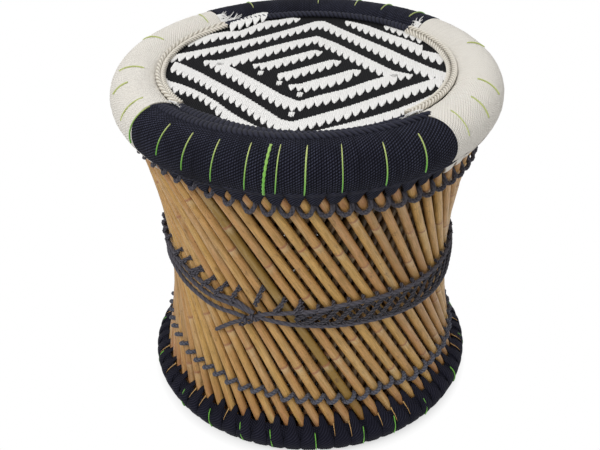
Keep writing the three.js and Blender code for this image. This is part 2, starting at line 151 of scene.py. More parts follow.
class Roll:
    """A thick hoop with an elliptical section; up is 1 where the canes enter from above."""

    def __init__(self, r, z, half_w, half_h, up, wrap):
        self.r, self.z, self.half_w, self.half_h, self.up, self.wrap = r, z, half_w, half_h, up, wrap

    def section(self, bearing, inset):
        """Radius and height at a bearing, which is 0 where the canes enter and grows outwards."""
        r = self.r + (self.half_w - inset) * np.sin(bearing)
        z = self.z + self.up * (self.half_h - inset) * np.cos(bearing)
        return r, z

    def lip(self, inset, wall, side):
        bearing = 0.0
        for _ in range(LIP_PASSES):
            reach = side * (wall(self.section(bearing, inset)[1]) - self.r)
            bearing = side * math.asin(reach / (self.half_w - inset))
        return bearing


class Layer:
    """Canes that lean one way on a waisted wall."""

    def __init__(self, waist, slope, lean):
        self.waist, self.slope, self.lean = waist, slope, lean

    def reach(self, z):
        return self.slope * (np.asarray(z, float) - WAIST_Z)

    def radius(self, z):
        return np.hypot(self.waist, self.reach(z))

    def turn(self, index, z):
        return index * PITCH + self.lean * np.arctan(self.reach(z) / self.waist)

    def flare(self, z):
        return self.slope * self.reach(z) / self.radius(z)

    def index(self, turn, z):
        return (turn - self.lean * np.arctan(self.reach(z) / self.waist)) / PITCH

    def point(self, index, z):
        return polar(self.radius(z), self.turn(index, z), z)


rim_roll = Roll(RIM_R - RIM_ROLL_R, HEIGHT - RIM_ROLL_R, RIM_ROLL_R, RIM_ROLL_R, -1, RIM_WRAP_THICK)
base_roll = Roll(
    BASE_R - BASE_ROLL_W / 2,
    BASE_ROLL_H / 2 - FOOT_CUT,
    BASE_ROLL_W / 2,
    BASE_ROLL_H / 2,
    1,
    BASE_WRAP_THICK,
)
KNUCKLE_R = CANE_R + KNUCKLE_SWELL
LAYER_STEP = KNUCKLE_R + CANE_R + GAP
TOP_R = rim_roll.r + CANE_TOP_OUT
FOOT_R = base_roll.r + CANE_FOOT_OUT
WAIST = min(TOP_R, FOOT_R) - WAIST_DRAW
FOOT_REACH = math.sqrt(FOOT_R**2 - WAIST**2)
OUTER_SLOPE = (math.sqrt(TOP_R**2 - WAIST**2) + FOOT_REACH) / (rim_roll.z - base_roll.z)
WAIST_Z = base_roll.z + FOOT_REACH / OUTER_SLOPE
PITCH = FULL / CANES
outer = Layer(WAIST, OUTER_SLOPE, -1)


def inner_slope(z):
    inside = outer.radius(z) - LAYER_STEP * math.hypot(1, outer.flare(z))
    return math.sqrt(inside**2 - (WAIST - LAYER_STEP) ** 2) / abs(z - WAIST_Z)


inner = Layer(WAIST - LAYER_STEP, min(inner_slope(rim_roll.z), inner_slope(base_roll.z)), 1)


def outer_wall(z):
    return outer.radius(z) + KNUCKLE_R * np.hypot(1, outer.flare(z)) + GAP


def inner_wall(z):
    return inner.radius(z) - KNUCKLE_R * np.hypot(1, inner.flare(z)) - GAP


class Form:
    """Gathers closed rings of points into one mesh, with winding coordinates and marks."""

    def __init__(self):
        self.points, self.faces, self.corners = [], [], []
        self.marks = {}
        self.count = 0

    def add(self, rings, along, around, looped=False, **marks):
        """Rings is rings by points by xyz. Along and around give the winding coordinates."""
        n, m = rings.shape[:2]
        rows, cols = np.meshgrid(np.arange(n if looped else n - 1), np.arange(m), indexing="ij")
        next_row, next_col = (rows + 1) % n, (cols + 1) % m
        quads = [rows * m + cols, rows * m + next_col, next_row * m + next_col, next_row * m + cols]
        quads = np.stack(quads, -1).reshape(-1, 4)
        u = [around[cols], around[cols + 1], around[cols + 1], around[cols]]
        v = [along[rows], along[rows], along[rows + 1], along[rows + 1]]
        corners = np.stack([np.stack(u, -1), np.stack(v, -1)], -1).reshape(-1, 4, 2)
        flat = rings.reshape(-1, 3)
        a, b, c, d = (flat[quads[:, k]] for k in range(4))
        volume = np.einsum("ij,ij->", a, np.cross(b, c)) + np.einsum("ij,ij->", a, np.cross(c, d))
        caps = []
        if not looped:
            caps = [np.arange(m)[::-1], (n - 1) * m + np.arange(m)]
            for cap in caps:
                ring = flat[cap]
                volume += np.einsum("ij,ij->", ring[0][None], np.cross(ring[1:-1], ring[2:]))
        if volume < 0:
            quads, corners = quads[:, ::-1], corners[:, ::-1]
            caps = [cap[::-1] for cap in caps]
        self.faces.append((quads + self.count, corners))
        for cap in caps:
            place = np.stack([around[cap % m], along[cap // m]], -1)
            self.faces.append((cap[None] + self.count, place[None]))
        self.points.append(flat)
        for name, value in marks.items():
            full = np.broadcast_to(np.asarray(value, float), (n, m)).ravel()
            self.marks.setdefault(name, []).append(full)
        self.count += n * m

    def build(self, name, material, slot, *replaced):
        points = np.concatenate(self.points)
        mesh = bpy.data.meshes.new(name)
        mesh.vertices.add(len(points))
        mesh.vertices.foreach_set("co", points.ravel())
        loops = np.concatenate([face.ravel() for face, _ in self.faces])
        sizes = np.concatenate([np.full(len(face), face.shape[1]) for face, _ in self.faces])
        mesh.loops.add(len(loops))
        mesh.loops.foreach_set("vertex_index", loops)
        mesh.polygons.add(len(sizes))
        mesh.polygons.foreach_set("loop_start", np.concatenate([[0], np.cumsum(sizes)[:-1]]))
        mesh.update(calc_edges=True)
        winding = mesh.uv_layers.new(name="winding")
        winding.data.foreach_set("uv", np.concatenate([place.ravel() for _, place in self.faces]))
        for mark, values in self.marks.items():
            mesh.attributes.new(mark, "FLOAT", "POINT").data.foreach_set("value", np.concatenate(values))
        mesh.shade_smooth()
        mesh.materials.append(material)
        piece = bpy.data.objects.new(name, mesh)
        scene.collection.objects.link(piece)
        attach(piece, "root")
        if replaced:
            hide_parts(*replaced)
        return piece


def lengths(path):
    steps = np.linalg.norm(np.diff(path, axis=0), axis=1)
    return np.concatenate([[0], np.cumsum(steps)])


def carried_frames(path):
    """Two directions square to the path at each point, turning as little as they can."""
    tangents = unit(np.gradient(path, axis=0))
    side = unit(np.cross(tangents[0], UP))
    sides = [side]
    for here in tangents[1:]:
        side = unit(side - here * side.dot(here))
        sides.append(side)
    sides = np.array(sides)
    return sides, np.cross(tangents, sides)


def rings_round(path, side, up, across, rise):
    """Rings of points that lie so far across the path and so far above it."""
    return path[:, None] + across[..., None] * side + rise[..., None] * up


def cord_rings(path, radius, sides, plies=0, ply_depth=0, lay=1):
    """Rings round a path, with plies laid round it, and how far each point is up a ply."""
    side, up = carried_frames(path)
    angle = np.arange(sides) / sides * FULL
    along = lengths(path)
    crown = np.cos(plies * angle[None] - plies * FULL * along[:, None] / lay) if plies else np.ones((1, 1))
    r = np.asarray(radius, float).reshape(-1, 1) * (1 + ply_depth * (crown - 1))
    rings = rings_round(path, side[:, None], up[:, None], r * np.cos(angle), r * np.sin(angle))
    return rings, along, np.broadcast_to((crown + 1) / 2, rings.shape[:2])


def add_cord(form, path, radius, sides, plies=0, ply_depth=0, lay=1, soft=0, **marks):
    rings, along, crown = cord_rings(path, radius, sides, plies, ply_depth, lay)
    # Soft cords take less painted shade in the grooves between their plies.
    crown = soft + (1 - soft) * crown
    around = np.arange(sides + 1) / sides
    form.add(rings, along / MM, around, crown=crown, **marks)


# How the cords are twisted: their sides, plies, how deep the plies are cut as a share of the
# radius, their lay, and for the soft ones how little painted shade the grooves between the plies take
TWISTS = {
    "lashing": (12, 3, 0.16, 10 * MM),
    "band": (14, 3, 0.08, 24 * MM, 0.35),
    "plait": (10, 2, 0.12, 9 * MM),
    "stitch": (10, 2, 0.2, 6 * MM),
    "stub": (12, 3, 0.14, 12 * MM),
    "knot": (10, 2, 0.14, 7 * MM),
    "green": (12, 2, 0.22, 11 * MM),
}


# Materials

SURFACE_INPUTS = ("Roughness", "Specular IOR Level", "Sheen Weight", "Coat Weight", "Coat Roughness")
COAT_ROUGHNESS = 0.35


class Shader:
    """A small builder for a principled material."""

    def __init__(self, name, roughness, specular=0.5, sheen=0, coat=0):
        self.material = bpy.data.materials.new(name)
        self.material.use_nodes = True
        self.nodes = self.material.node_tree.nodes
        self.links = self.material.node_tree.links
        self.surface = self.nodes["Principled BSDF"]
        values = (roughness, specular, sheen, coat, COAT_ROUGHNESS)
        for name, value in zip(SURFACE_INPUTS, values):
            self.feed(self.surface.inputs[name], value)

    def node(self, kind, settings=None, **inputs):
        node = self.nodes.new("ShaderNode" + kind)
        for key, value in (settings or {}).items():
            setattr(node, key, value)
        for key, value in inputs.items():
            self.feed(node.inputs[key.replace("_", " ")], value)
        return node

    def feed(self, socket, value):
        if isinstance(value, bpy.types.NodeSocket):
            self.links.new(value, socket)
        else:
            socket.default_value = value

    def math(self, operation, a, b=0.0, c=0.0):
        node = self.node("Math", {"operation": operation})
        for socket, value in zip(node.inputs, (a, b, c)):
            self.feed(socket, value)
        return node.outputs[0]

    def times(self, a, b):
        return self.math("MULTIPLY", a, b)

    def mark(self, name):
        return self.node("Attribute", {"attribute_name": name}).outputs["Fac"]

    def winding(self, across=1, along=1):
        """The winding coordinates, scaled, as a vector."""
        place = self.node("UVMap", {"uv_map": "winding"}).outputs[0]
        return self.node("Mapping", Vector=place, Scale=(across, along, 1)).outputs[0]

    def object_place(self):
        return self.node("TexCoord").outputs["Object"]

    def noise(self, vector, scale, detail=3.0, roughness=0.6):
        node = self.node("TexNoise", Vector=vector, Scale=scale, Detail=detail, Roughness=roughness)
        return node.outputs["Fac"]

    def spread(self, value, low, high):
        """Stretches a value between low and high to 0..1."""
        node = self.node("MapRange", {"clamp": True}, Value=value)
        node.inputs["From Min"].default_value = low
        node.inputs["From Max"].default_value = high
        return node.outputs[0]

    def blend(self, share, a, b):
        node = self.node("Mix", {"data_type": "RGBA"})
        self.feed(node.inputs[0], share)
        self.feed(node.inputs[6], a)
        self.feed(node.inputs[7], b)
        return node.outputs[2]

    def tint(self, color, other, value, low, high, most=1.0):
        """Blends a colour towards another as a value goes from low to high, by no more than most."""
        share = self.spread(value, low, high)
        if most < 1:
            share = self.times(share, most)
        return self.blend(share, color, other)

    def bump(self, height, distance, strength=1.0, under=None):
        node = self.node("Bump", Height=height, Distance=distance, Strength=strength)
        if under is not None:
            self.links.new(under, node.inputs["Normal"])
        return node.outputs[0]

    def finish(self, color, roughness=None, normal=None):
        self.feed(self.surface.inputs["Base Color"], color)
        if roughness is not None:
            self.feed(self.surface.inputs["Roughness"], roughness)
        if normal is not None:
            self.links.new(normal, self.surface.inputs["Normal"])
        return self.material


def srgb(red, green, blue):
    """A colour as a screen shows it, 0..255, in the linear values that shaders take."""
    linear = [((c / 255 + 0.055) / 1.055) ** 2.4 if c > 10 else c / 255 / 12.92 for c in (red, green, blue)]
    return (*linear, 1)


# Length of a ply along the wound cord in mm, and how far it leans across a turn
PLY_LENGTH = 2.9
PLY_SLANT = 0.47
BARK = srgb(92, 60, 30)
RUST = srgb(140, 78, 48)
HUSK = srgb(214, 192, 150)
# Heights in mm where the canes are rusty, and how far a sheath reaches from its knuckle
RUSTY_LOW = (60, 30)
RUSTY_HIGH = (296, 316)
SHEATH_START = (-11, -1)
SHEATH_END = (0.8, -0.2)


def wound_cord(name, crest_highlight, groove, stain, specular, contrast=0.9):
    """Cord wound in close turns: ply dashes across each turn, lightened on their crowns as painted glints,
    painted shade in the grooves between turns and on hidden sides, fibres and uneven colour.
    """
    shader = Shader(name, 0.8, specular, 0.02)
    across, along, _ = shader.node("SeparateXYZ", Vector=shader.winding()).outputs
    crown = shader.mark("crown")
    slant = shader.times(across, -PLY_SLANT * FULL)
    ply = shader.math("SINE", shader.math("MULTIPLY_ADD", along, FULL / PLY_LENGTH, slant))
    fibre = shader.noise(shader.winding(3, 0.7), 1.5)
    tone = shader.noise(shader.winding(0.35, 0.03), 1.0, 2.0)
    patch = shader.noise(shader.object_place(), 22.0, 4.0)
    dash = shader.times(shader.spread(ply, -0.4, 1), shader.spread(crown, 0.25, 0.9))
    dash = shader.times(dash, shader.spread(fibre, 0.25, 0.62))
    # Painted glints: the ply dashes on the crowns take the crest's painted highlight colour.
    color = shader.blend(shader.times(dash, contrast), stain, crest_highlight)
    # Painted shade: the groove colour darkens the grooves between turns, the hidden inside wall and the
    # backs of the lobes.
    color = shader.tint(color, groove, crown, 0.55, 0)
    color = shader.tint(color, stain, tone, 0.42, 0.75, 0.6)
    color = shader.tint(color, stain, patch, 0.48, 0.7, 0.6)
    normal = shader.bump(ply, 0.3 * MM, 0.7)
    return shader.finish(color, None, shader.bump(fibre, 0.25 * MM, 0.6, normal))


def laid_cord(name, crest_highlight, groove, specular=0.25):
    """Twisted cord: painted highlight on the ply crowns and painted shade in the grooves between them."""
    shader = Shader(name, 0.8, specular, 0.05)
    fibre = shader.noise(shader.winding(8, 0.5), 1.6)
    patch = shader.noise(shader.winding(0.5, 0.05), 1.0, 2.0)
    # Painted light: the crown mark blends from the painted shade colour in the grooves to the painted
    # highlight colour on the crowns.
    color = shader.tint(groove, crest_highlight, shader.mark("crown"), 0.05, 0.75)
    color = shader.tint(color, groove, fibre, 0.4, 0.8, 0.4)
    color = shader.tint(color, crest_highlight, patch, 0.35, 0.8, 0.35)
    return shader.finish(color, None, shader.bump(fibre, 0.25 * MM, 0.7))


def reed(name, honey, rosy, olive):
    """Reed skin: long fine fibres, one tone to a cane, and scars at its knuckles."""
    shader = Shader(name, 0.45, 0.35, 0, 0.08)
    tone, knot, height = (shader.mark(mark) for mark in ("tone", "knot", "height"))
    fibre = shader.noise(shader.winding(26, 0.05), 1.0, 4.0)
    cloud = shader.noise(shader.winding(3, 0.02), 1.0, 3.0)
    speck = shader.noise(shader.winding(30, 0.5), 1.0, 2.0)
    blot = shader.noise(shader.winding(5, 0.09), 1.0, 4.0, 0.7)
    pale = shader.noise(shader.winding(2.5, 0.009), 1.0, 3.0)
    pink = shader.math("ADD", tone, shader.math("MULTIPLY_ADD", cloud, 0.9, -0.2))
    color = shader.tint(honey, rosy, pink, 0.3, 1.0)
    color = shader.tint(color, olive, tone, 0.75, 1.0)
    color = shader.tint(color, olive, cloud, 0.56, 0.7, 0.5)
    # Painted highlights: long pale streaks in the husk colour along the canes.
    color = shader.tint(color, HUSK, pale, 0.5, 0.72, 0.5)
    color = shader.tint(color, olive, fibre, 0.4, 0.7, 0.8)
    color = shader.tint(color, BARK, speck, 0.6, 0.7, 0.65)
    color = shader.tint(color, BARK, blot, 0.58, 0.7, 0.6)
    ends = shader.math("ADD", shader.spread(height, *RUSTY_LOW), shader.spread(height, *RUSTY_HIGH))
    ends = shader.times(ends, shader.spread(cloud, 0.35, 0.6))
    color = shader.blend(shader.times(ends, 0.55), color, RUST)
    wide = shader.math("ADD", knot, shader.math("MULTIPLY_ADD", blot, 5.0, -2.5))
    sheath = shader.times(shader.spread(wide, *SHEATH_START), shader.spread(wide, *SHEATH_END))
    sheath = shader.times(sheath, shader.spread(blot, 0.35, 0.55))
    color = shader.blend(shader.times(sheath, 0.6), color, HUSK)
    scar = shader.math("ABSOLUTE", shader.math("MULTIPLY_ADD", speck, 1.6, knot))
    color = shader.tint(color, RUST, scar, 2.2, 0.4, 0.75)
    normal = shader.bump(fibre, 0.25 * MM, 0.5)
    normal = shader.bump(shader.times(sheath, speck), 0.6 * MM, 0.9, normal)
    return shader.finish(color, shader.math("MULTIPLY_ADD", fibre, 0.3, 0.34), normal)


def grass_bundle():
    """Bound grass and reed offcuts, hidden in the two rolls."""
    shader = Shader("grass_bundle", 0.85, 0.2)
    straw = shader.noise(shader.object_place(), 300.0, 3.0)
    color = shader.tint(srgb(96, 78, 44), srgb(170, 146, 92), straw, 0.3, 0.7)
    return shader.finish(color, None, shader.bump(straw, 0.8 * MM))


def green_strand():
    """A strand that is pale at its top and greener as it goes down."""
    shader = Shader("green_strand", 0.55, 0.4, 0.2)
    fibre = shader.noise(shader.winding(6, 0.6), 1.5)
    color = shader.tint(srgb(196, 204, 128), srgb(112, 186, 62), shader.mark("drop"), 0.1, 0.8)
    color = shader.tint(color, srgb(70, 120, 40), fibre, 0.4, 0.8, 0.4)
    return shader.finish(color, None, shader.bump(fibre, 0.2 * MM, 0.6))


# Each cord's first colour is a painted highlight for its crowns and its second a painted shade for its
# grooves; the base's cord has a dimmer painted highlight.
black_wound = wound_cord("black_wound_cord", srgb(80, 83, 104), srgb(3, 3, 6), srgb(18, 18, 25), 0.06)
base_wound = wound_cord("base_wound_cord", srgb(62, 62, 78), srgb(4, 4, 7), srgb(21, 21, 31), 0.06, 0.7)
cream_wound = wound_cord(
    "cream_wound_cord", srgb(244, 243, 239), srgb(172, 165, 154), srgb(228, 223, 214), 0.1
)
grey_laid = laid_cord("grey_laid_cord", srgb(90, 88, 96), srgb(22, 21, 27), 0.12)
# The plait's cord is a darker copy of the grey cord, with deeper painted shade in its grooves, where the
# plait lies sunk between the band's ropes.
shaded_plait_laid = laid_cord("plait_laid_cord", srgb(82, 80, 86), srgb(12, 11, 15), 0.12)
blue_laid = laid_cord("blue_grey_laid_cord", srgb(104, 106, 118), srgb(28, 28, 36), 0.12)
white_laid = laid_cord("white_laid_cord", srgb(244, 243, 241), srgb(186, 183, 180))
cream_laid = laid_cord("cream_laid_cord", srgb(236, 231, 220), srgb(150, 140, 124))
black_rope = laid_cord("black_rope", srgb(46, 47, 60), srgb(2, 2, 4), 0.14)
black_weave = laid_cord("black_weave", srgb(22, 22, 25), srgb(2, 2, 3), 0.05)
reed_skin = reed("reed_skin", srgb(204, 162, 94), srgb(188, 138, 92), srgb(140, 110, 50))
# The inner canes take the reed skin in darker colours: painted shade behind the outer canes.
shaded_inner_skin = reed("shaded_inner_reed_skin", srgb(104, 76, 44), srgb(92, 66, 42), srgb(70, 54, 28))
grass = grass_bundle()
green = green_strand()

for node in ("rim_core_hoop", "base_core_hoop"):
    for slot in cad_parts[node].material_slots:
        slot.material = grass


# Canes

CANE_RINGS = 60
CANE_BEND = 0.5 * MM
CANE_TOP_Z = rim_roll.z - CANE_TOP_DROP
KNUCKLE_HALF = 1.6 * MM
KNUCKLE_RISE = 0.4 * MM
KNUCKLE_NECK = 0.25 * MM
NECK_APART = 2.6 * KNUCKLE_HALF
# Knuckles of most canes step through these shares of their length, and a second one is apart
KNUCKLE_SHARES = {"lowest": 0.22, "spread": 0.6, "step": 0.618}
SECOND_SHARES = {"least": 0.35, "spread": 0.3}
# Knuckles that the photograph shows on the outer canes: turn and height in mm
SEEN_KNUCKLES = (
    (-0.517, 243), (0, 194), (0.725, 212), (-0.117, 103), (0.117, 113), (0.325, 134), (0.433, 136),
    (-0.6, 111), (-0.85, 137),
)
# Widths of the outer and the inner canes, at the front and beyond a turn at the back
CANE_WIDTH_SHARES = ((0.95, 1.09), (1.07, 1.16))
FAR_TURN = 1.75
TAPER_SHARE = 0.02
UNEVEN_SHARE = 0.012
DARK_CANES = {63: 1.0, 8: 0.82, 10: 0.8, 21: 0.9, 37: 0.88, 50: 0.85}
CANE_TONES = (0.05, 0.7)
FIBRE_OFFSETS = (0, 400)


def knuckle_share(layer, index):
    """The share of its length where a cane has its main knuckle."""
    for turn, height in SEEN_KNUCKLES:
        z = height * MM
        if layer is outer and round(float(outer.index(turn, z))) % CANES == index:
            return (z - CANE_FOOT_Z) / (CANE_TOP_Z - CANE_FOOT_Z)
    return KNUCKLE_SHARES["lowest"] + KNUCKLE_SHARES["spread"] * ((index * KNUCKLE_SHARES["step"]) % 1)


def add_cane(form, layer, index, sides, seed):
    rng = np.random.default_rng(seed)
    share = np.linspace(0, 1, CANE_RINGS)
    foot, top = layer.point(index, CANE_FOOT_Z), layer.point(index, CANE_TOP_Z)
    length = np.linalg.norm(top - foot)
    path = foot + (top - foot) * share[:, None]
    sway = rng.uniform(-1, 1, 3)
    bend = CANE_BEND * (sway[0] * np.sin(math.pi * share) + sway[1] * np.sin(FULL * share)) / 2
    side = np.cross(top - foot, path[CANE_RINGS // 2] * (1, 1, 0))
    path = path + bend[:, None] * side / np.linalg.norm(side)
    knuckle = length * knuckle_share(layer, index)
    step = length * (SECOND_SHARES["least"] + SECOND_SHARES["spread"] * rng.random())
    second = knuckle + step * (1 if knuckle < length / 2 else -1)
    along = share * length
    apart = np.where(abs(along - second) < abs(along - knuckle), along - second, along - knuckle)
    far = abs(wrapped(layer.turn(index, WAIST_Z))) > FAR_TURN
    width = CANE_WIDTH_SHARES[layer is inner][int(far)]
    radius = CANE_R * (width - TAPER_SHARE * share + UNEVEN_SHARE * sway[2])
    radius = radius + KNUCKLE_RISE * bell(apart, 0, KNUCKLE_HALF)
    radius = radius - KNUCKLE_NECK * bell(apart, NECK_APART, KNUCKLE_HALF)
    rings, along, _ = cord_rings(path, radius, sides)
    tone = DARK_CANES.get(index, rng.uniform(*CANE_TONES))
    offset = rng.uniform(*FIBRE_OFFSETS)
    around = np.arange(sides + 1) / sides + offset
    marks = {"tone": tone, "knot": apart[:, None] / MM, "height": path[:, 2:] / MM}
    form.add(rings, along / MM + offset, around, **marks)


for panel in range(PANELS):
    for layer, label, sides, skin in ((outer, "outer", 16, reed_skin), (inner, "inner", 10, shaded_inner_skin)):
        form = Form()
        for index in range(panel * CANES_PER_PANEL, (panel + 1) * CANES_PER_PANEL):
            add_cane(form, layer, index, sides, index + CANES * (label == "inner"))
        form.build(f"reeds_{label}_{panel + 1:02d}", skin, "reed", f"{label}_canes_{panel + 1:02d}")


# Wound rolls

RIM_SEEDS = (0, 10, 20, 30)
BASE_SEED = 70
RIM_ARC_STEPS = 44
BASE_ARC_STEPS = 40
HOLD_TURN = 0.08
LUMP_SHARES = (0.7, 0.3)
# How many waves the winding wanders and swells by, and the least and most round a roll
WANDER_WAVES = (8, 3, 24)
LUMP_WAVES = (10, 4, 30)
# Where the black winding's turns pull apart in pairs, and by how much deeper their grooves are
COMB = 1.6
COMB_AT = 0.12
COMB_SPREAD = 0.3
# Seams of the base winding, and what a cane takes of its pitch
SEAM_DEPTH = 1.3 * MM
SEAM_SHARE = 0.12
CANE_SHARE = 0.36
# Where each lobe of a wrap starts, where its cane's notch begins and where the lobe ends
BASE_LOBE = (13 * MM, 24 * MM, 38 * MM)
RIM_LOBE = (336 * MM, 323.5 * MM, 311 * MM)
# The bed of the black rope on the front's inner shoulder, by its bearing on the roll
SHOULDER = math.pi + 0.12
SHOULDER_SINK = 1.7 * MM
SHOULDER_SPREAD = 0.42
# The right cream sector's winding is dragged sideways at both of its ends
SKEW_SPREAD = math.radians(12)
SKEW_AT = math.radians(38)
SKEW = math.radians(3.6)
BACK_SKEW_AT = math.radians(129)
BACK_SKEW = math.radians(-2.6)
CREAM_LUMP = 1.5 * MM
CREASE = 0.7 * MM
CREASE_SPREAD = 0.014
# Green strands on the cream: each has its turn and the bearings where it starts and ends
CREAM_STRANDS = (
    (-2.4, 3.7, 2.9), (-1.96, 3.5, 2.4), (-1.49, 3.5, 2.5), (-1.3, 2.85, 2.1), (-1.07, 3, 1.8),
    (0.8, 2.9, 1.8), (1, 2.9, 1.9), (1.22, 3.1, 2.1), (1.75, 3.2, 2.4),
)


def wound_columns(start, end, radius, seed):
    """Turns of cord side by side: the turn of each column, its depth, crown and count."""
    count = max(1, round((end - start) * radius / TURN_W))
    rng = np.random.default_rng(seed)
    jitter = rng.uniform(-1, 1, (count, 1)) * TURN_JITTER
    cords = np.arange(count)[:, None]
    comb = COMB * (cords % 2) * bell(start + (end - start) * (cords + 0.5) / count, COMB_AT, COMB_SPREAD)
    across, deep = np.transpose(TURN_SHARES)
    places = np.append((cords + across) / count, 1)
    depths = np.append(deep * GROOVE * (1 + comb) + jitter * (1 - deep), GROOVE)
    crowns = np.append(np.tile(1 - deep, count), 0)
    return start + (end - start) * places, depths, crowns, places * count


def skew(turns, bearings):
    front = SKEW * bell(turns, SKEW_AT, SKEW_SPREAD) * np.clip(np.sin(bearings), 0, 1)
    return front + BACK_SKEW * bell(turns, BACK_SKEW_AT, SKEW_SPREAD)


def creases(turns):
    """Hollows in the cream winding where a green strand is pulled tight."""
    apart = wrapped(turns[:, None] - np.array(CREAM_STRANDS)[:, 0])
    return bell(apart, 0, CREASE_SPREAD).sum(1)


def swap_winding(form):
    """Puts the count of turns first and the length along the cord second."""
    form.faces = [(face, place[..., ::-1]) for face, place in form.faces]


def wound_shell(roll, start, end, seed, arc_steps, looped=False, sink=0.0, cream=False):
    """A shell of wound cord on a roll, from its outer lip round to its inner lip."""
    turns, depths, crowns, count = wound_columns(start, end, roll.r, seed)
    if looped:
        turns, depths, crowns = turns[:-1], depths[:-1], crowns[:-1]
    inner_lip = FULL + roll.lip(roll.wrap, inner_wall, -1)
    bearings = np.linspace(roll.lip(roll.wrap, outer_wall, 1), inner_lip, arc_steps)
    across, along = turns[:, None], bearings[None]
    wander, lumps = waves(seed + 1, *WANDER_WAVES), waves(seed + 2, *LUMP_WAVES)
    hold = 1 if looped else ramp(np.minimum(turns - start, end - turns), 0, HOLD_TURN)
    slide = WANDER * (hold * wander(turns))[:, None] * np.sin(along)
    if not looped:
        slide = slide + skew(across, along)
    lump = LUMP_SHARES[0] * lumps(across + 0.6 * along) + LUMP_SHARES[1] * lumps(2 * along - across)
    inset = depths[:, None] + 0.5 * (CREAM_LUMP if cream else LUMP) * (1 + lump)
    if cream:
        inset = inset + CREASE * creases(turns)[:, None]
    inset = inset + sink * bell(along, SHOULDER, SHOULDER_SPREAD)
    if looped:
        apart = (outer.index(turns, BASE_LOBE[1]) + CANE_SHARE + 0.5) % 1 - 0.5
        inset = inset + SEAM_DEPTH * bell(apart, 0, SEAM_SHARE)[:, None]
    r, z = roll.section(along, inset)
    outside = polar(r, across + slide, np.maximum(z, 0))
    r, z = roll.section(along[:, ::-1], roll.wrap)
    inside = polar(r, across + slide[:, ::-1], np.maximum(z, BASE_WRAP_THICK))
    # The crown mark is 1 on the turns' crowns, less down their grooves and 0 on the hidden inside wall,
    # which the cord's finish colours as painted shade.
    crown = np.concatenate([np.repeat(crowns[:, None], arc_steps, 1), np.zeros((len(turns), arc_steps))], 1)
    # Winding coordinates: across counts turns, along measures the cord round the roll
    cord = bearings * roll.half_w / MM
    form = Form()
    around = np.concatenate([cord, cord[::-1], cord[:1]])
    form.add(np.concatenate([outside, inside], 1), count, around, looped, crown=crown)
    swap_winding(form)
    return form


def sector_ends(sector, radius):
    slack = GAP / 2 / radius
    start, end = (math.radians(turn) for turn in RIM_SECTORS[sector])
    return start + slack, end - slack


SECTOR_FINISH = {"black": (black_wound, "black_cord"), "cream": (cream_wound, "cream_cord")}
for seed, sector in zip(RIM_SEEDS, RIM_SECTORS):
    colour = sector.split("_")[1]
    sink = SHOULDER_SINK if sector == "front_black" else 0
    ends = sector_ends(sector, rim_roll.r)
    form = wound_shell(rim_roll, *ends, seed, RIM_ARC_STEPS, sink=sink, cream=colour == "cream")
    form.build(f"rim_winding_{sector}", *SECTOR_FINISH[colour], f"rim_wrap_{sector}")
form = wound_shell(base_roll, 0, FULL, BASE_SEED, BASE_ARC_STEPS, True)
form.build("base_winding", base_wound, "black_cord", "base_wrap")


# Lobes of the wraps: turns that pass between two canes and lap the foot or top of one

LOBE_SEED = 5
LOBE_LEVELS = 18
LOBE_FRONT_STEPS = 14
LOBE_BACK_STEPS = 6
LOBE_TURNS = 4
LOBE_DEEP = 3.6 * MM
LOBE_BULGE = 1.5 * MM
LOBE_SINK = 4 * MM
LOBE_BLEND = 1 * MM
LOBE_VARIES = 1.3 * MM
# Shares of a lobe's height: where it swells, sinks and shuts, and how long each takes
SWELL_SHARES = (0, 0.35)
SINK_SHARES = (0.75, 0.25)
SHUT_SHARES = (0.93, 0.07)
SHUT_MOST = 0.98
ROLL_BELOW = 0.5 * MM
CANE_ABOVE = 0.2 * MM
# How much higher than usual the base's lobes end, in mm, at turns round the stool
LOBE_TALLER = ((-3.14, 2), (-1.2, -1), (-0.5, 0), (0, 3), (0.4, 7), (1.0, 8), (3.14, 2))


def lobe_skin(roll, z):
    """The surface that a lobe lies on: the roll, and beyond it the canes."""
    off = np.clip(np.abs(z - roll.z) / roll.half_h, 0, 1)
    on_roll = roll.r + roll.half_w * np.sqrt(1 - off**2) - ROLL_BELOW
    on_canes = outer.radius(z) + (CANE_R + CANE_ABOVE) * np.hypot(1, outer.flare(z))
    return LOBE_BLEND * np.logaddexp(on_roll / LOBE_BLEND, on_canes / LOBE_BLEND)


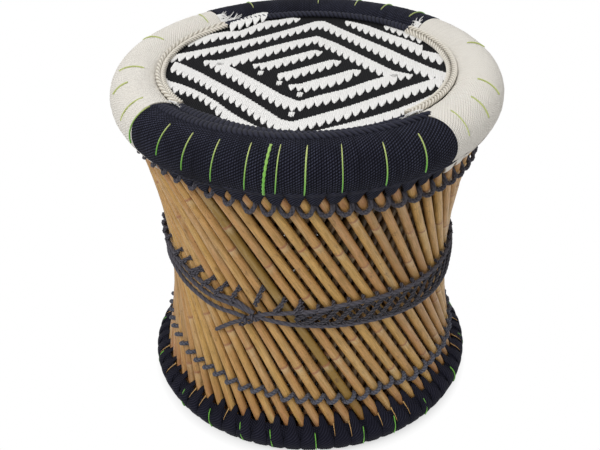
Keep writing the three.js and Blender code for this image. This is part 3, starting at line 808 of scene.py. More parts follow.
def add_lobe(form, roll, index, spans, rng):
    start, notch, tip = spans
    if roll is base_roll:
        middle = wrapped(outer.turn(index + 0.5, notch))
        tip = tip + read_table(LOBE_TALLER, middle) * MM
    tip = tip + rng.uniform(-1, 1) * LOBE_VARIES
    share = np.sin(np.linspace(0, 1, LOBE_LEVELS) * math.pi / 2)
    z = start + (tip - start) * share
    rise = ramp(z, notch, tip - notch)
    held = np.maximum(z, notch) if roll.up > 0 else np.minimum(z, notch)
    slant = CANE_SHARE * (2 * rise**0.8 - 1)
    straight = np.full(LOBE_LEVELS, 1 - CANE_SHARE)
    left, right = (slant, straight) if roll.up > 0 else (1 - straight, 1 - slant)
    shut = np.minimum(ramp(share, *SHUT_SHARES), SHUT_MOST)
    half = (right - left) / 2 * np.sqrt(1 - shut**2)
    swell = LOBE_BULGE * ramp(share, *SWELL_SHARES) * (1 - 0.6 * rise)
    sink = LOBE_SINK * ramp(share, *SINK_SHARES) ** 1.5
    front = np.linspace(0, math.pi, LOBE_FRONT_STEPS, endpoint=False)
    back = np.linspace(math.pi, FULL, LOBE_BACK_STEPS, endpoint=False)
    angle = np.concatenate([front, back])
    lift = np.where(angle < math.pi, swell[:, None], LOBE_DEEP) * np.sin(angle)
    lift = np.sign(lift) * np.abs(lift / LOBE_DEEP) ** 0.8 * LOBE_DEEP
    cycle = index + (left + right)[:, None] / 2 + half[:, None] * np.cos(angle)
    r = (lobe_skin(roll, z) - sink)[:, None] + lift
    rings = polar(r, outer.turn(cycle, held[:, None]), z[:, None])
    around = np.append(np.cos(angle), 1) * LOBE_TURNS
    # The crown mark fades towards the lobe's edges and is 0 on its back against the canes, where the cord's
    # colour is painted shade.
    form.add(rings, z / MM, around, crown=np.clip(np.sin(angle), 0, 1)[None] ** 0.5)


def sector_at(turn):
    degrees = math.degrees(turn) % 360
    return next((name for name, (a, b) in RIM_SECTORS.items() if a <= degrees < b), "front_black")


rng = np.random.default_rng(LOBE_SEED)
form = Form()
for index in range(CANES):
    add_lobe(form, base_roll, index, BASE_LOBE, rng)
form.build("base_lobes", base_wound, "black_cord", "base_wrap_points")

# Slivers of reed that show below some notches of the base's lobes. Their lengths are in mm
SLIVER_STEPS = 10
SLIVER_SIDES = 8
SLIVER_ODDS = 0.42
SLIVER_LONG = (5, 11)
SLIVER_R = 0.85 * MM
SLIVER_TAPER = 0.85
SLIVER_OUT = 1.1 * MM
SLIVER_TOP = 35.5 * MM
SLIVER_ASIDE = 0.05
share = np.linspace(0, 1, SLIVER_STEPS)
form = Form()
for index in range(CANES):
    if rng.random() > SLIVER_ODDS:
        continue
    z = SLIVER_TOP - rng.uniform(*SLIVER_LONG) * MM * share
    turns = outer.turn(index + SLIVER_ASIDE, SLIVER_TOP)
    path = polar(lobe_skin(base_roll, z) + SLIVER_OUT, turns, z)
    rings, along, _ = cord_rings(path, SLIVER_R * (1 - SLIVER_TAPER * share**0.7), SLIVER_SIDES)
    around = np.arange(SLIVER_SIDES + 1) / SLIVER_SIDES
    form.add(rings, along / MM, around, tone=rng.uniform(0, 0.6), knot=50, height=60)
form.build("base_slivers", reed_skin, "reed")

lobes = {"black": Form(), "cream": Form()}
for index in range(CANES):
    sector = sector_at(outer.turn(index + 0.5, RIM_LOBE[1]) - SKEW)
    add_lobe(lobes[sector.split("_")[1]], rim_roll, index, RIM_LOBE, rng)
for colour, form in lobes.items():
    form.build(f"rim_lobes_{colour}", *SECTOR_FINISH[colour])


# Lashings

LOOP_STEPS = 15
LOOP_REACH = math.radians(104)
LOOP_OUT = 0.5 * MM
LOOP_SMOOTHING = 2
# How far the loops hang and lean, in mm, and their heights in mm at turns round the stool
LOOPS = {
    "top": {
        "radius": 2.5 * MM,
        "deep": 5.5,
        "tilt": 2.2,
        "heights": (
            (-3.14, 306), (-1.5, 318), (-1, 326), (-0.8, 325), (-0.62, 322), (-0.46, 318),
            (-0.34, 310.5), (0, 310.2), (0.35, 307.5), (0.65, 305), (1, 301.5), (1.6, 303),
            (3.14, 306),
        ),
    },
    "bottom": {
        "radius": 2.6 * MM,
        "deep": -0.4,
        "tilt": 0.6,
        "heights": (
            (-3.14, 64), (-1.2, 72), (-0.95, 70), (-0.65, 69.3), (-0.48, 65.3), (-0.3, 68.3),
            (-0.19, 64.3), (-0.1, 63.3), (0, 63.3), (0.18, 60.3), (0.27, 58), (0.37, 61.3),
            (0.47, 62.8), (0.57, 63.8), (0.65, 60.5), (0.76, 54.5), (0.88, 58.2), (1.05, 56), (2, 60),
            (3.14, 64),
        ),
    },
}


def loops_path(radius, deep, tilt, heights):
    """A cord that passes in front of each cane in a hanging loop and dives between two."""
    angle = np.linspace(-LOOP_REACH, LOOP_REACH, LOOP_STEPS)[:, None]
    rounds = []
    for index in range(CANES):
        middle = wrapped(outer.turn(index, np.mean(heights, 0)[1] * MM))
        z = read_table(heights, middle) * MM
        base = outer.point(index, z)
        axis = unit(outer.point(index, z + MM) - outer.point(index, z - MM))
        out = base * (1, 1, 0)
        out = unit(out - axis * out.dot(axis))
        spacing = np.linalg.norm(np.cross(outer.point(index + 1, z) - base, axis)) / 2
        ring = base + (CANE_R + radius + LOOP_OUT) * np.cos(angle) * out
        ring = ring + spacing * np.sin(angle) * np.cross(axis, out)
        rounds.append(ring + (tilt * np.sin(angle) - deep * np.cos(angle)) * MM * axis)
    return smooth(np.concatenate(rounds), LOOP_SMOOTHING)


def smooth(values, passes):
    for _ in range(passes):
        inside = (values[:-2] + 2 * values[1:-1] + values[2:]) / 4
        values = np.concatenate([values[:1], inside, values[-1:]])
    return values


for name, material in (("top", grey_laid), ("bottom", blue_laid)):
    form = Form()
    add_cord(form, loops_path(**LOOPS[name]), LOOPS[name]["radius"], *TWISTS["lashing"])
    form.build(f"{name}_lashing_cord", material, "grey_cord", f"{name}_lashing")


# Waist band

# Courses of the band's cords: turns, and heights as shares of the band's half height
UPPER_SHARES = (
    (-0.672, -2.29), (-0.599, -1.63), (-0.516, -0.97), (-0.458, -0.65), (-0.42, -0.32), (-0.384, -0.1),
    (-0.34, 0.12), (-0.288, 0.36), (-0.231, 0.51), (-0.166, 0.6), (-0.087, 0.74), (0.053, 0.86),
    (0.1, 1.0), (0.178, 1.16), (0.342, 1.16), (0.523, 1.08), (0.74, 0.92), (1.02, 0.8), (1.6, 0.95),
    (3.6, 1), (4.6, 0.97), (5.03, 0.98), (5.216, 0.95), (5.306, 0.8), (5.384, 0.73), (5.514, 0.51),
    (5.606, 0.44), (5.71, 0.49), (5.796, 0.49), (5.867, 0.34), (5.91, 0.24),
)
LOWER_SHARES = (
    (-0.36, -0.02), (-0.29, -0.1), (-0.209, -0.2), (-0.129, -0.3), (-0.05, -0.33), (0.053, -0.4),
    (0.181, -0.5), (0.349, -0.57), (0.534, -0.73), (0.758, -0.96), (0.99, -1.11), (2.4, -1.15),
    (3.6, -1.1), (4.6, -0.3), (5.03, 0.3), (5.146, 0.3), (5.287, 0.03), (5.44, -0.12), (5.564, -0.3),
    (5.672, -0.31), (5.772, -0.22), (5.85, -0.3),
)
THIRD_SHARES = (
    (4.5, 1.6), (4.8, 1.8), (5.03, 1.85), (5.156, 1.76), (5.235, 1.56), (5.326, 1.54), (5.465, 1.3),
    (5.581, 1.07), (5.653, 0.87), (5.742, 0.93), (5.815, 0.82), (5.87, 0.6), (5.92, 0.42),
)
BAND_STEPS = 1300
BAND_SMOOTHING = 30
# How far before its end a cord lifts off the others, in turn
END_TURN = 0.12
UPPER_END = 1 * MM
THIRD_END = 3 * MM
# The plait between them: doubled cords that climb in front and fall behind
BRAID_SPAN = (-0.1, 4.75)
CHAIN_STEPS = 2600
CHAIN_SMOOTHING = 3
CHAIN_CORDS = 3
CHAIN_R = 1.25 * MM
CHAIN_APART = 1.2 * MM
CHAIN_LIFT = 3.4 * MM
CHAIN_EDGE = 0.8
LEAST_SHARE = 0.04


def on_band(turn, share, radius):
    z = WAIST_Z + BAND_ABOVE_WAIST + BAND_HALF_H * share
    return polar(outer.radius(z) + KNUCKLE_R + GAP + radius, turn, z)


def add_band_cord(form, shares, end_lift=0.0):
    """A soft rope along the band, lifted clear of the others where it ends in the knot."""
    turns = np.linspace(shares[0][0], shares[-1][0], BAND_STEPS)
    heights = smooth(read_table(shares, turns), BAND_SMOOTHING)
    lift = end_lift * (1 - ramp(shares[-1][0] - turns, 0, END_TURN))
    path = on_band(turns, heights, BAND_CORD_R) + lift[:, None] * polar(1, turns, 0)
    add_cord(form, path, BAND_CORD_R, *TWISTS["band"])


def waist_chain():
    turns = np.linspace(*BRAID_SPAN, CHAIN_STEPS)
    top, bottom = read_table(UPPER_SHARES, turns), read_table(LOWER_SHARES, turns)
    taken = (0.2 * BAND_CORD_R + CHAIN_R + CHAIN_APART) / BAND_HALF_H
    room = np.maximum((top - bottom) / 2 - taken, LEAST_SHARE)
    outward = polar(1, turns, 0)
    form = Form()
    for number in range(CHAIN_CORDS):
        phase = (turns / PITCH + number) / CHAIN_CORDS * FULL
        share = (top + bottom) / 2 + room * np.arcsin(CHAIN_EDGE * np.sin(phase)) / math.asin(CHAIN_EDGE)
        lifted = CHAIN_LIFT * (1 + np.cos(phase)) / 2
        path = smooth(on_band(turns, share, CHAIN_R) + lifted[:, None] * outward, CHAIN_SMOOTHING)
        beside = unit(np.cross(np.gradient(path, axis=0), outward))
        for side in (1, -1):
            add_cord(form, path + side * CHAIN_APART * beside, CHAIN_R, *TWISTS["plait"])
    return form


for name, shares, end_lift in (("upper", UPPER_SHARES, UPPER_END), ("lower", LOWER_SHARES, 0)):
    form = Form()
    add_band_cord(form, shares, end_lift)
    form.build(f"waist_{name}_rope", grey_laid, "grey_cord", f"waist_{name}_cord")
waist_chain().build("waist_chain", shaded_plait_laid, "grey_cord", "waist_braid")

# Stitches climb from the band into the gaps between the canes, long ones on the left.
# Each long one has the turn and the height in mm of its foot and of its top
LONG_STITCHES = (
    (-1.037, 193.5, -0.976, 204.3), (-0.99, 189.9, -0.9, 202.3), (-0.928, 187.4, -0.83, 198.8),
    (-0.833, 184.4, -0.745, 196.8), (-0.724, 181.9, -0.637, 194.2), (-0.63, 178.5, -0.549, 192.8),
    (-0.49, 176.5, -0.44, 193.3), (-0.358, 180.4, -0.309, 200.4), (-0.254, 175.9, -0.191, 188.4),
    (-0.142, 176.1, -0.097, 186.4),
)
STITCH_STEPS = 30
STITCH_R = 1.7 * MM
STITCH_WIND = 1.5 * MM
STITCH_DIVE = 7 * MM
STITCH_OUT = 1.6 * MM
STITCH_COILS = 1.6
DIVE_SHARES = (0.6, 0.4)
# Short ones: the gaps where they stand, their sizes and how far their feet stand aside
SHORT_GAPS = (0, 47)
SHORT_RISE = 3.4 * MM
SHORT_R = 2 * MM
SHORT_DIVE = 5 * MM
SHORT_ASIDE = 0.02
SHORT_Z = 184 * MM
FAR_GAPS = (-17, -10)
FAR_RISE = 12 * MM
FAR_ASIDE = 0.07
FAR_Z = 200 * MM
# The knot where the band starts: its cord turns round itself before its loose end
KNOT_STEPS = 140
KNOT_TURNS = (-0.46, 0.13)
KNOT_SHARES = (-0.62, 0.86)
KNOT_COILS = 2.6
KNOT_OUT = 4.6 * MM
KNOT_WIND = 3.6 * MM
KNOT_R = 1.9 * MM


def stitch_path(foot, top, radius, dive):
    """From foot to top, each a turn and a height, lying on the canes and diving at the top."""
    share = np.linspace(0, 1, STITCH_STEPS)
    turns = foot[0] + (top[0] - foot[0]) * share
    z = foot[1] + (top[1] - foot[1]) * share
    out = outer.radius(z) + KNUCKLE_R + GAP + radius + STITCH_OUT * (1 - share)
    out = out - dive * ramp(share, *DIVE_SHARES) ** 1.5
    return polar(out, turns, z), turns


def add_stitch(form, foot, top):
    path, turns = stitch_path(foot, top, STITCH_R, STITCH_DIVE)
    outward = polar(1, turns, 0)
    beside = np.cross(unit(path[-1] - path[0]), outward)
    for strand in (0, math.pi):
        spin = (STITCH_COILS * FULL * np.linspace(0, 1, STITCH_STEPS) + strand)[:, None]
        twisted = path + STITCH_WIND * (np.cos(spin) * beside + np.sin(spin) * outward)
        add_cord(form, twisted, STITCH_R, *TWISTS["stitch"])


def band_edge(shares, turn):
    return WAIST_Z + BAND_ABOVE_WAIST + BAND_HALF_H * float(read_table(shares, turn))


def gap_turn(gap, z):
    return float(outer.turn(gap + 0.5, z))


def add_knot(form):
    share = np.linspace(0, 1, KNOT_STEPS)
    turns, heights = (start + run * share for start, run in (KNOT_TURNS, KNOT_SHARES))
    spin = (KNOT_COILS * FULL * share)[:, None]
    centre = on_band(turns, heights, KNOT_OUT)
    outward = polar(1, turns, 0)
    beside = np.cross(unit(np.gradient(centre, axis=0)), outward)
    wound = centre + KNOT_WIND * (np.cos(spin) * outward + np.sin(spin) * beside)
    add_cord(form, wound, KNOT_R, *TWISTS["knot"])


form = Form()
add_band_cord(form, THIRD_SHARES, THIRD_END)
for foot_turn, foot_height, top_turn, top_height in LONG_STITCHES:
    foot_z, top_z = foot_height * MM, top_height * MM
    gap = round(float(outer.index(top_turn, top_z)) - 0.5)
    shift = gap_turn(gap, top_z) - top_turn
    add_stitch(form, (foot_turn + shift, foot_z), (top_turn + shift, top_z))
for gap in range(*FAR_GAPS):
    turn = gap_turn(gap, FAR_Z)
    z = band_edge(THIRD_SHARES, turn + FULL)
    add_stitch(form, (turn - FAR_ASIDE, z), (turn, z + FAR_RISE))
for gap in range(*SHORT_GAPS):
    turn = gap_turn(gap, SHORT_Z)
    z = band_edge(UPPER_SHARES, turn)
    path, _ = stitch_path((turn - SHORT_ASIDE, z), (turn, z + SHORT_RISE), SHORT_R, SHORT_DIVE)
    add_cord(form, path, SHORT_R, *TWISTS["stub"])
add_knot(form)
form.build("waist_stitches", grey_laid, "grey_cord")


# Seat

SEAT_Z = HEIGHT - SEAT_DROP
RIB_DEPTH = 0.7 * MM
RIB_SAMPLES = 4
RIB_LEAST = 0.5 * MM
MAT_ROWS = 70


def rim_inside(z):
    return rim_roll.r - math.sqrt(RIM_ROLL_R**2 - (z - rim_roll.z) ** 2) - GAP


MAT_R = rim_inside(SEAT_Z) - GAP


def in_weave(across, along, z):
    """A point given in the weave's own directions."""
    across, along, z = np.broadcast_arrays(across, along, z)
    c, s = math.cos(WEAVE_TURN), math.sin(WEAVE_TURN)
    return np.stack([across * c - along * s, across * s + along * c, z], -1)


def seat_ground():
    """The black ground of the seat: ribs of cord side by side."""
    edge = math.floor(MAT_R / STRAND_W) * STRAND_W
    across = np.arange(-edge, edge + STRAND_W / 8, STRAND_W / RIB_SAMPLES)
    rib = np.abs(np.sin(math.pi * across / STRAND_W))
    share = np.cos(np.linspace(0, math.pi, MAT_ROWS))
    along = np.sqrt(np.maximum(MAT_R**2 - across**2, RIB_LEAST**2))[:, None] * share
    trim = RIB_DEPTH * (1 - rib[:, None] ** 0.7)
    upper = in_weave(across[:, None], along, SEAT_Z - trim)
    lower = in_weave(across[:, None], along[:, ::-1], SEAT_Z - SEAT_THICK + trim)
    # The crown mark follows the ribs, so the valleys between them take the weave's painted shade.
    crown = np.repeat(rib[:, None], 2 * MAT_ROWS, 1)
    around = np.concatenate([share, share[::-1], share[:1]]) * MAT_R / MM
    form = Form()
    form.add(np.concatenate([upper, lower], 1), across / STRAND_W, around, crown=crown)
    swap_winding(form)
    return form


seat_ground().build("seat_ground", black_weave, "black_cord", "seat_mat")

# White floats: each band is a row of points on its upper edge, with its height below them, in mm
BANDS = {
    "outer_diamond": (
        (
            (-143, 20, 20), (-125, 32, 22), (-103, 47, 21), (-81, 63.5, 22), (-51.5, 88, 21),
            (-29, 110, 23), (-7, 133, 26), (2, 134, 24), (22, 114, 24), (51.5, 86, 26), (81, 59, 29),
            (103, 36, 30), (125, 15, 28), (143, 2, 24),
        ),
        (
            (-137, 2, 24), (-125, -6, 25), (-103, -24, 23), (-81, -44, 24), (-51.5, -70, 26),
            (-29, -93, 28), (-7, -117, 25), (3.7, -121, 23), (22, -107, 25), (51.5, -83, 27),
            (81, -56, 24), (103, -35, 25), (137, -5, 24),
        ),
    ),
    "inner_diamond": (
        (
            (-107, 8, 10), (-96, 10, 20), (-88, 15, 26), (-73, 28.5, 30), (-44, 55, 27), (-22, 73, 24),
            (0, 88, 22), (22, 71, 26), (44, 48.5, 27), (66, 26, 27), (88, 3, 24), (106, -5, 10),
        ),
        (
            (-90, 6, 24), (-73.6, -8, 25), (-58.9, -22, 25), (-36.8, -43, 27), (-14.7, -65, 26),
            (3.7, -78, 22), (22, -62, 24), (44, -46, 27), (66, -24, 27), (90, -4, 25),
        ),
    ),
    "bar_1": (
        (
            (-53, 4, 9), (-44, 9.5, 17), (-37, 16, 24), (-22, 28.5, 24), (0, 47, 22), (4, 48, 18),
            (8.5, 44.5, 10),
        ),
    ),
    "bar_2": (
        ((-26, -17, 13), (-14.7, -8.5, 23), (0, 4.5, 23), (22, 23.5, 24), (25, 24, 18), (32, 21, 10)),
    ),
    "bar_3": (
        (
            (-9, -42, 11), (0, -39, 15), (7.4, -31, 25), (29.4, -13.5, 29), (44, 0, 29), (48, 2, 20),
            (55, 0, 10),
        ),
    ),
    "band_back_left": (
        (
            (-135, 58, 14), (-125, 75, 26), (-118, 82, 27), (-103, 91, 22), (-88, 94, 21),
            (-81, 104, 26), (-66, 127, 28), (-51, 132, 20), (-37, 141, 19), (-29, 139, 10),
        ),
    ),
    "band_back_right": (
        (
            (26, 137, 10), (37, 133, 17), (51, 126, 24), (66, 113, 24), (81, 100, 24), (96, 89, 27),
            (112, 74, 28),
        ),
    ),
    "band_front_left": (
        (
            (-141, -34, 12), (-132, -46, 16), (-118, -52, 20), (-103, -62, 16), (-88, -74, 14),
            (-73, -88, 17), (-59, -104, 24), (-44, -119, 22), (-27, -134, 10),
        ),
    ),
    "band_front_right": (
        ((26, -139, 8), (51, -121, 18), (73, -104, 22), (96, -85, 23), (118, -62, 22), (140, -36, 14)),
    ),
}
SMALL_BANDS = (
    ((73, 126, 10), (88, 117, 16), (104, 104, 16), (112, 94, 14)),
    ((112, 60, 16), (118, 58, 20), (132, 52, 27), (141, 40, 16)),
)
# The band's end that climbs the rim at the back left
RAISED_BAND = ((-100, 106, 18), (-86, 122, 20), (-70, 139, 22), (-64, 137, 14))
RAISED_LIMIT = 153 * MM
RAISED_FROM = 126 * MM
RAISED_H = 7 * MM
# Four dots, in mm, and the half length of a dot's strand, less at its sides
DOTS = ((-44.2, -16.5), (-21.5, -39), (2.5, -63), (1, -106))
DOT_HALF = 4.6 * MM
DOT_LESS = 1.1 * MM
FIELD_R = 145 * MM
FLOAT_Z = SEAT_Z + 0.55 * MM
FLOAT_LEAST = 3 * MM
STRAND_STEPS = 12
STRAND_SIDES = 8
STRAND_HALF_H = 0.75 * MM
# A strand's half width as a share of its spacing, and how much less it is in a tooth's tip.
# Then the stretches of its length where it rises from the ground and dives again
STRAND_SHARES = (0.56, 0.14)
START_SHARES = (0, 0.08)
END_SHARES = (0.9, 0.1)
STRAND_DIVE = 1.6 * MM
# Teeth: their height, how a tooth narrows, and how far its strands' ends step
TOOTH_H = 5 * MM
TOOTH_SLOPE = 1.3
FINGER_H = 5.5 * MM
PINCH = 0.4
EDGE_STEP = 0.9 * MM


def add_strand(form, across, low_across, upper, lower, climb=0.0):
    """One strand of a float, from its upper end to its lower end, where it dives."""
    share = (1 - np.cos(math.pi * np.linspace(0, 1, STRAND_STEPS))) / 2
    along = upper + (lower - upper) * share
    ease = np.clip((lower + FINGER_H - along) / FINGER_H, 0, 1) ** 1.2
    aside = across + (low_across - across) * ease
    dive = STRAND_DIVE * ((1 - ramp(share, *START_SHARES)) ** 2 + ramp(share, *END_SHARES) ** 2)
    rise = climb * ramp(np.hypot(aside, along), RAISED_FROM, RAISED_LIMIT - RAISED_FROM)
    path = in_weave(aside, along, FLOAT_Z + rise - dive)
    angle = np.arange(STRAND_SIDES) / STRAND_SIDES * FULL
    half_w = STRAND_W * (STRAND_SHARES[0] - STRAND_SHARES[1] * ease[:, None])
    rise = STRAND_HALF_H * np.sin(angle)
    rings = rings_round(path, in_weave(1, 0, 0), UP, half_w * np.cos(angle), rise)
    around = np.arange(STRAND_SIDES + 1) / STRAND_SIDES + across / STRAND_W
    # The crown mark is highest on the strand's top and lowest underneath, where the cord's colour is
    # painted shade.
    form.add(rings, along / MM, around, crown=np.clip(np.sin(angle) * 0.5 + 0.6, 0, 1)[None])


def add_band(form, rows, reach=FIELD_R, climb=0.0):
    """A float as columns of strands, which end together in one tooth."""
    places, edges, heights = np.transpose(rows) * MM
    first, last = math.floor(places[0] / COLUMN_W) + 1, math.ceil(places[-1] / COLUMN_W)
    for column in range(first, last):
        middle = column * COLUMN_W
        low = np.interp(middle, places, edges) - np.interp(middle, places, heights) - TOOTH_H / 3
        for strand in range(STRANDS):
            offset = (strand - (STRANDS - 1) / 2) * STRAND_W
            limit = math.sqrt(max(reach**2 - (middle + offset) ** 2, 0))
            upper = np.interp(middle + offset, places, edges) + EDGE_STEP * (strand % 2 - 0.5)
            upper, lower = min(upper, limit), max(low + TOOTH_SLOPE * abs(offset), -limit)
            if upper - lower > FLOAT_LEAST:
                add_strand(form, middle + offset, middle + PINCH * offset, upper, lower, climb)


for name, bands in BANDS.items():
    form = Form()
    for rows in bands:
        add_band(form, rows)
    form.build(f"float_{name}", white_laid, "white_cord", f"seat_{name}")
form = Form()
for rows in SMALL_BANDS:
    add_band(form, rows)
add_band(form, RAISED_BAND, RAISED_LIMIT, RAISED_H)
for place in DOTS:
    for strand in (-1, 0, 1):
        across, along = place[0] * MM + strand * STRAND_W, place[1] * MM
        half = DOT_HALF - DOT_LESS * abs(strand)
        add_strand(form, across, across, along + half, along - half)
form.build("float_small_bands", white_laid, "white_cord")


# Border ropes between the weave and the rim

BORDER_Z = SEAT_Z + GAP + BORDER_R
BORDER_REACH = math.sqrt((RIM_ROLL_R + GAP + BORDER_R) ** 2 - (BORDER_Z - rim_roll.z) ** 2)
BORDER_C = rim_roll.r - BORDER_REACH
BORDER_STEPS = 900
BORDER_PLIES = (14, 3)
# Two ropes on each cream sector. In mm: radius, place outwards and upwards, and lay. Then how
# deep the plies are cut
CREAM_ROPES = {
    "left_cream": ((2.9, -1.6, -2, 13, 0.22), (2.7, 3.4, -0.6, -26, 0.12)),
    "right_cream": ((3, -2.6, -2, 15, 0.24), (3.2, 2.6, 0, -15, 0.24)),
}
# Half widths and half heights in mm of the black borders, at shares of their length
BORDER_SHARES = (0, 0.18, 0.4, 0.6, 1)
BLACK_BORDER = {
    "front_black": ((5, 8.5, 6.5, 4, 3.4), (2, 2.6, 2.4, 2.2, 2)),
    "back_black": ((4.6, 4.6, 4.6, 4.6, 4.6), (3.4, 3.4, 3.4, 3.4, 3.4)),
}
BORDER_OUT = 1.5 * MM
BORDER_SINK = 0.2 * MM
# A black border's groove, the width of its ribs, their slant and the sides it is drawn with
BLACK_ROPE = (1.3 * MM, 5.2 * MM, 2, 18)
# How much cord one turn round a black border or the shoulder rope takes, in mm
ROLL_ROUND = 24
# The rope on the front's inner shoulder: wide and flat on the left, twisted on the right
SHOULDER_TURNS = (-0.92, 0.7)
SHOULDER_INSET = 1.8 * MM
ROPE_SHARES = (0, 0.5, 1)
SHOULDER_ROPE = {
    "half_w": (6.5, 6, 4.2),
    "half_h": (2.6, 3.1, 3.8),
    "groove": (1.5, 1.7, 2.3),
    "rib": (4.4, 5, 6.8),
}
SHOULDER_SLANTS = (1, 2.5, 3)
SHOULDER_SIDES = 22


def add_roll(form, path, outward, upward, half_w, half_h, groove, rib, slant, sides):
    """A flattened roll along a path, ribbed by the cord wound round it, its seam underneath."""
    along = lengths(path)
    angle = np.arange(sides) / sides * FULL - math.pi / 2
    lean = np.reshape(slant, (-1, 1)) * (angle - math.pi / 2) / FULL
    ribs = np.cumsum(np.gradient(along) / rib)
    ridge = np.abs(np.sin(math.pi * (ribs[:, None] + lean)))
    trim = np.reshape(groove, (-1, 1)) * (1 - ridge)
    across = (half_w[:, None] - trim) * np.cos(angle)
    rise = (half_h[:, None] - trim) * np.sin(angle)
    rings = rings_round(path, outward[:, None], upward[:, None], across, rise)
    # The crown mark follows the ribs, so the grooves between them take the rope's painted shade.
    form.add(rings, along / TURN_W, np.arange(sides + 1) / sides * ROLL_ROUND, crown=ridge)
    swap_winding(form)


BORDER_FINISH = {"black": (black_rope, "black_cord"), "cream": (cream_laid, "cream_cord")}
share = np.linspace(0, 1, BORDER_STEPS)
for sector in RIM_SECTORS:
    turns = np.linspace(*sector_ends(sector, BORDER_C), BORDER_STEPS)
    path, outward = polar(BORDER_C, turns, BORDER_Z), polar(1, turns, 0)
    form = Form()
    for radius, out, above, lay, depth in CREAM_ROPES.get(sector, ()):
        place = path + out * MM * outward + above * MM * UP
        add_cord(form, place, radius * MM, *BORDER_PLIES, depth, lay * MM)
    if sector in BLACK_BORDER:
        widths, heights = (np.interp(share, BORDER_SHARES, row) * MM for row in BLACK_BORDER[sector])
        low = path - UP * (BORDER_R - heights[:, None] + BORDER_SINK) + BORDER_OUT * outward
        upward = np.broadcast_to(UP, outward.shape)
        add_roll(form, low, outward, upward, widths, heights, *BLACK_ROPE)
    form.build(f"border_{sector}", *BORDER_FINISH[sector.split("_")[1]], f"seat_border_{sector}")

turns = np.linspace(*SHOULDER_TURNS, BORDER_STEPS)
r, z = rim_roll.section(SHOULDER, SHOULDER_INSET)
outward = polar(1, turns, 0)
tipped = SHOULDER - math.pi
along_skin = math.cos(tipped) * outward + math.sin(tipped) * UP
off_skin = math.cos(tipped) * UP - math.sin(tipped) * outward
rope = {name: np.interp(share, ROPE_SHARES, row) * MM for name, row in SHOULDER_ROPE.items()}
closing = np.sqrt(1 - np.linspace(-0.995, 0.995, BORDER_STEPS) ** 40)
rope["half_w"], rope["half_h"] = rope["half_w"] * closing, rope["half_h"] * closing
slants = np.interp(share, ROPE_SHARES, SHOULDER_SLANTS)
form = Form()
add_roll(form, polar(r, turns, z), along_skin, off_skin, **rope, slant=slants, sides=SHOULDER_SIDES)
form.build("rim_shoulder_rope", black_rope, "black_cord")


# Frayed ends of the cream cord where its sectors meet the black ones

TUFT_SEED = 23
TUFT_STRANDS = 34
TUFT_STEPS = 10
TUFT_SIDES = 6
TUFT_R = 0.65 * MM
TUFT_TAPER = 0.6
TUFT_SLOWING = 0.25
# The shortest strand as a share of the reach, how widely strands start and fan out by bearing,
# and how far they swerve, in turn and in bearing
SHORTEST_SHARE = 0.3
TUFT_WIDE = 0.3
TUFT_FAN = 0.25
TUFT_SWERVE = (0.012, 0.3)
# Least height of a strand over the winding, and how much more some rise, in mm
TUFT_LIFT = (0.7, 1.9)
# Turn, bearing on the roll and reach along the rim of each tuft
TUFTS = ((3.79, 4.1, -0.22), (3.8, 3.8, -0.12), (-0.98, 4.0, 0.11), (0.7, 3.85, -0.17), (2.2, 3.95, 0.1))


def add_tuft(form, turn, bearing, reach, rng):
    share = np.linspace(0, 1, TUFT_STEPS)
    for _ in range(TUFT_STRANDS):
        aim, swerve = rng.uniform(-1, 1, 2)
        reached = reach * rng.uniform(SHORTEST_SHARE, 1) * share * (1 - TUFT_SLOWING * share)
        turns = turn + reached + TUFT_SWERVE[0] * swerve * share**2
        bearings = bearing + TUFT_WIDE * rng.uniform(-1, 1) + TUFT_FAN * aim * share
        bearings = bearings + TUFT_SWERVE[1] * swerve * share**2
        lift = (TUFT_LIFT[0] + TUFT_LIFT[1] * rng.random() * np.sin(0.8 * math.pi * share)) * MM
        r, z = rim_roll.section(bearings, -lift)
        add_cord(form, polar(r, turns, z), TUFT_R * (1 - TUFT_TAPER * share), TUFT_SIDES)


rng = np.random.default_rng(TUFT_SEED)
form = Form()
for tuft in TUFTS:
    add_tuft(form, *tuft, rng)
form.build("frayed_ends", white_laid, "cream_cord")


# Green strands wound in with the cord

# Each has its turn, its half width in mm and the bearings on the roll where it starts and ends
GREEN_STRANDS = (
    (-0.957, 0.5, 2.9, 1.3), (-0.738, 0.5, 2.68, 1.5), (-0.589, 0.55, 2.65, 1.3),
    (-0.44, 0.55, 2.65, 1.15), (-0.283, 0.6, 2.7, 1.0), (-0.196, 1.5, 2.7, 0.75),
    (-0.145, 0.6, 2.72, 0.92), (-0.02, 0.75, 2.7, 0.85), (0.141, 0.55, 2.68, 0.95),
    (0.338, 0.6, 2.55, 1.0), (0.53, 0.6, 2.55, 1.15), (2.34, 0.5, 3.5, 2.2), (2.57, 0.5, 3.5, 2.2),
    (2.77, 0.5, 3.5, 2.2), (3.04, 0.5, 3.5, 2.2), (3.51, 0.5, 3.5, 2.2),
)
# Strands of more than this half width, in mm, are drawn as twisted cord
THICKEST = 1
# How far a strand leans, in turn to bearing, at turns round the stool
GREEN_LEAN = ((-1.1, 0.02), (-0.1, 0.018), (0.2, 0.002), (0.6, -0.02), (1, 0))
GREEN_SWAY = 0.004
GREEN_STEPS = 40
GREEN_SIDES = 10
GREEN_H = 0.8 * MM
GREEN_INSET = -0.15 * MM
# How green the ends of the strands are, from 0 to 1
RIM_DROPS = (0, 1)
THICK_DROPS = (0.45, 1)
CREAM_DROPS = (0.05, 0.05)
BASE_DROPS = (0.8, 0.8)
CREAM_HALF_W = 0.3
BASE_HALF_W = 0.6
BASE_SPAN = (0.75, 1.95)
BASE_STRAND_TURNS = (-0.908, -0.658, -0.437, -0.25, 0.013, 0.30, 0.505, 0.75)
BASE_STRAND_STEP = 0.35


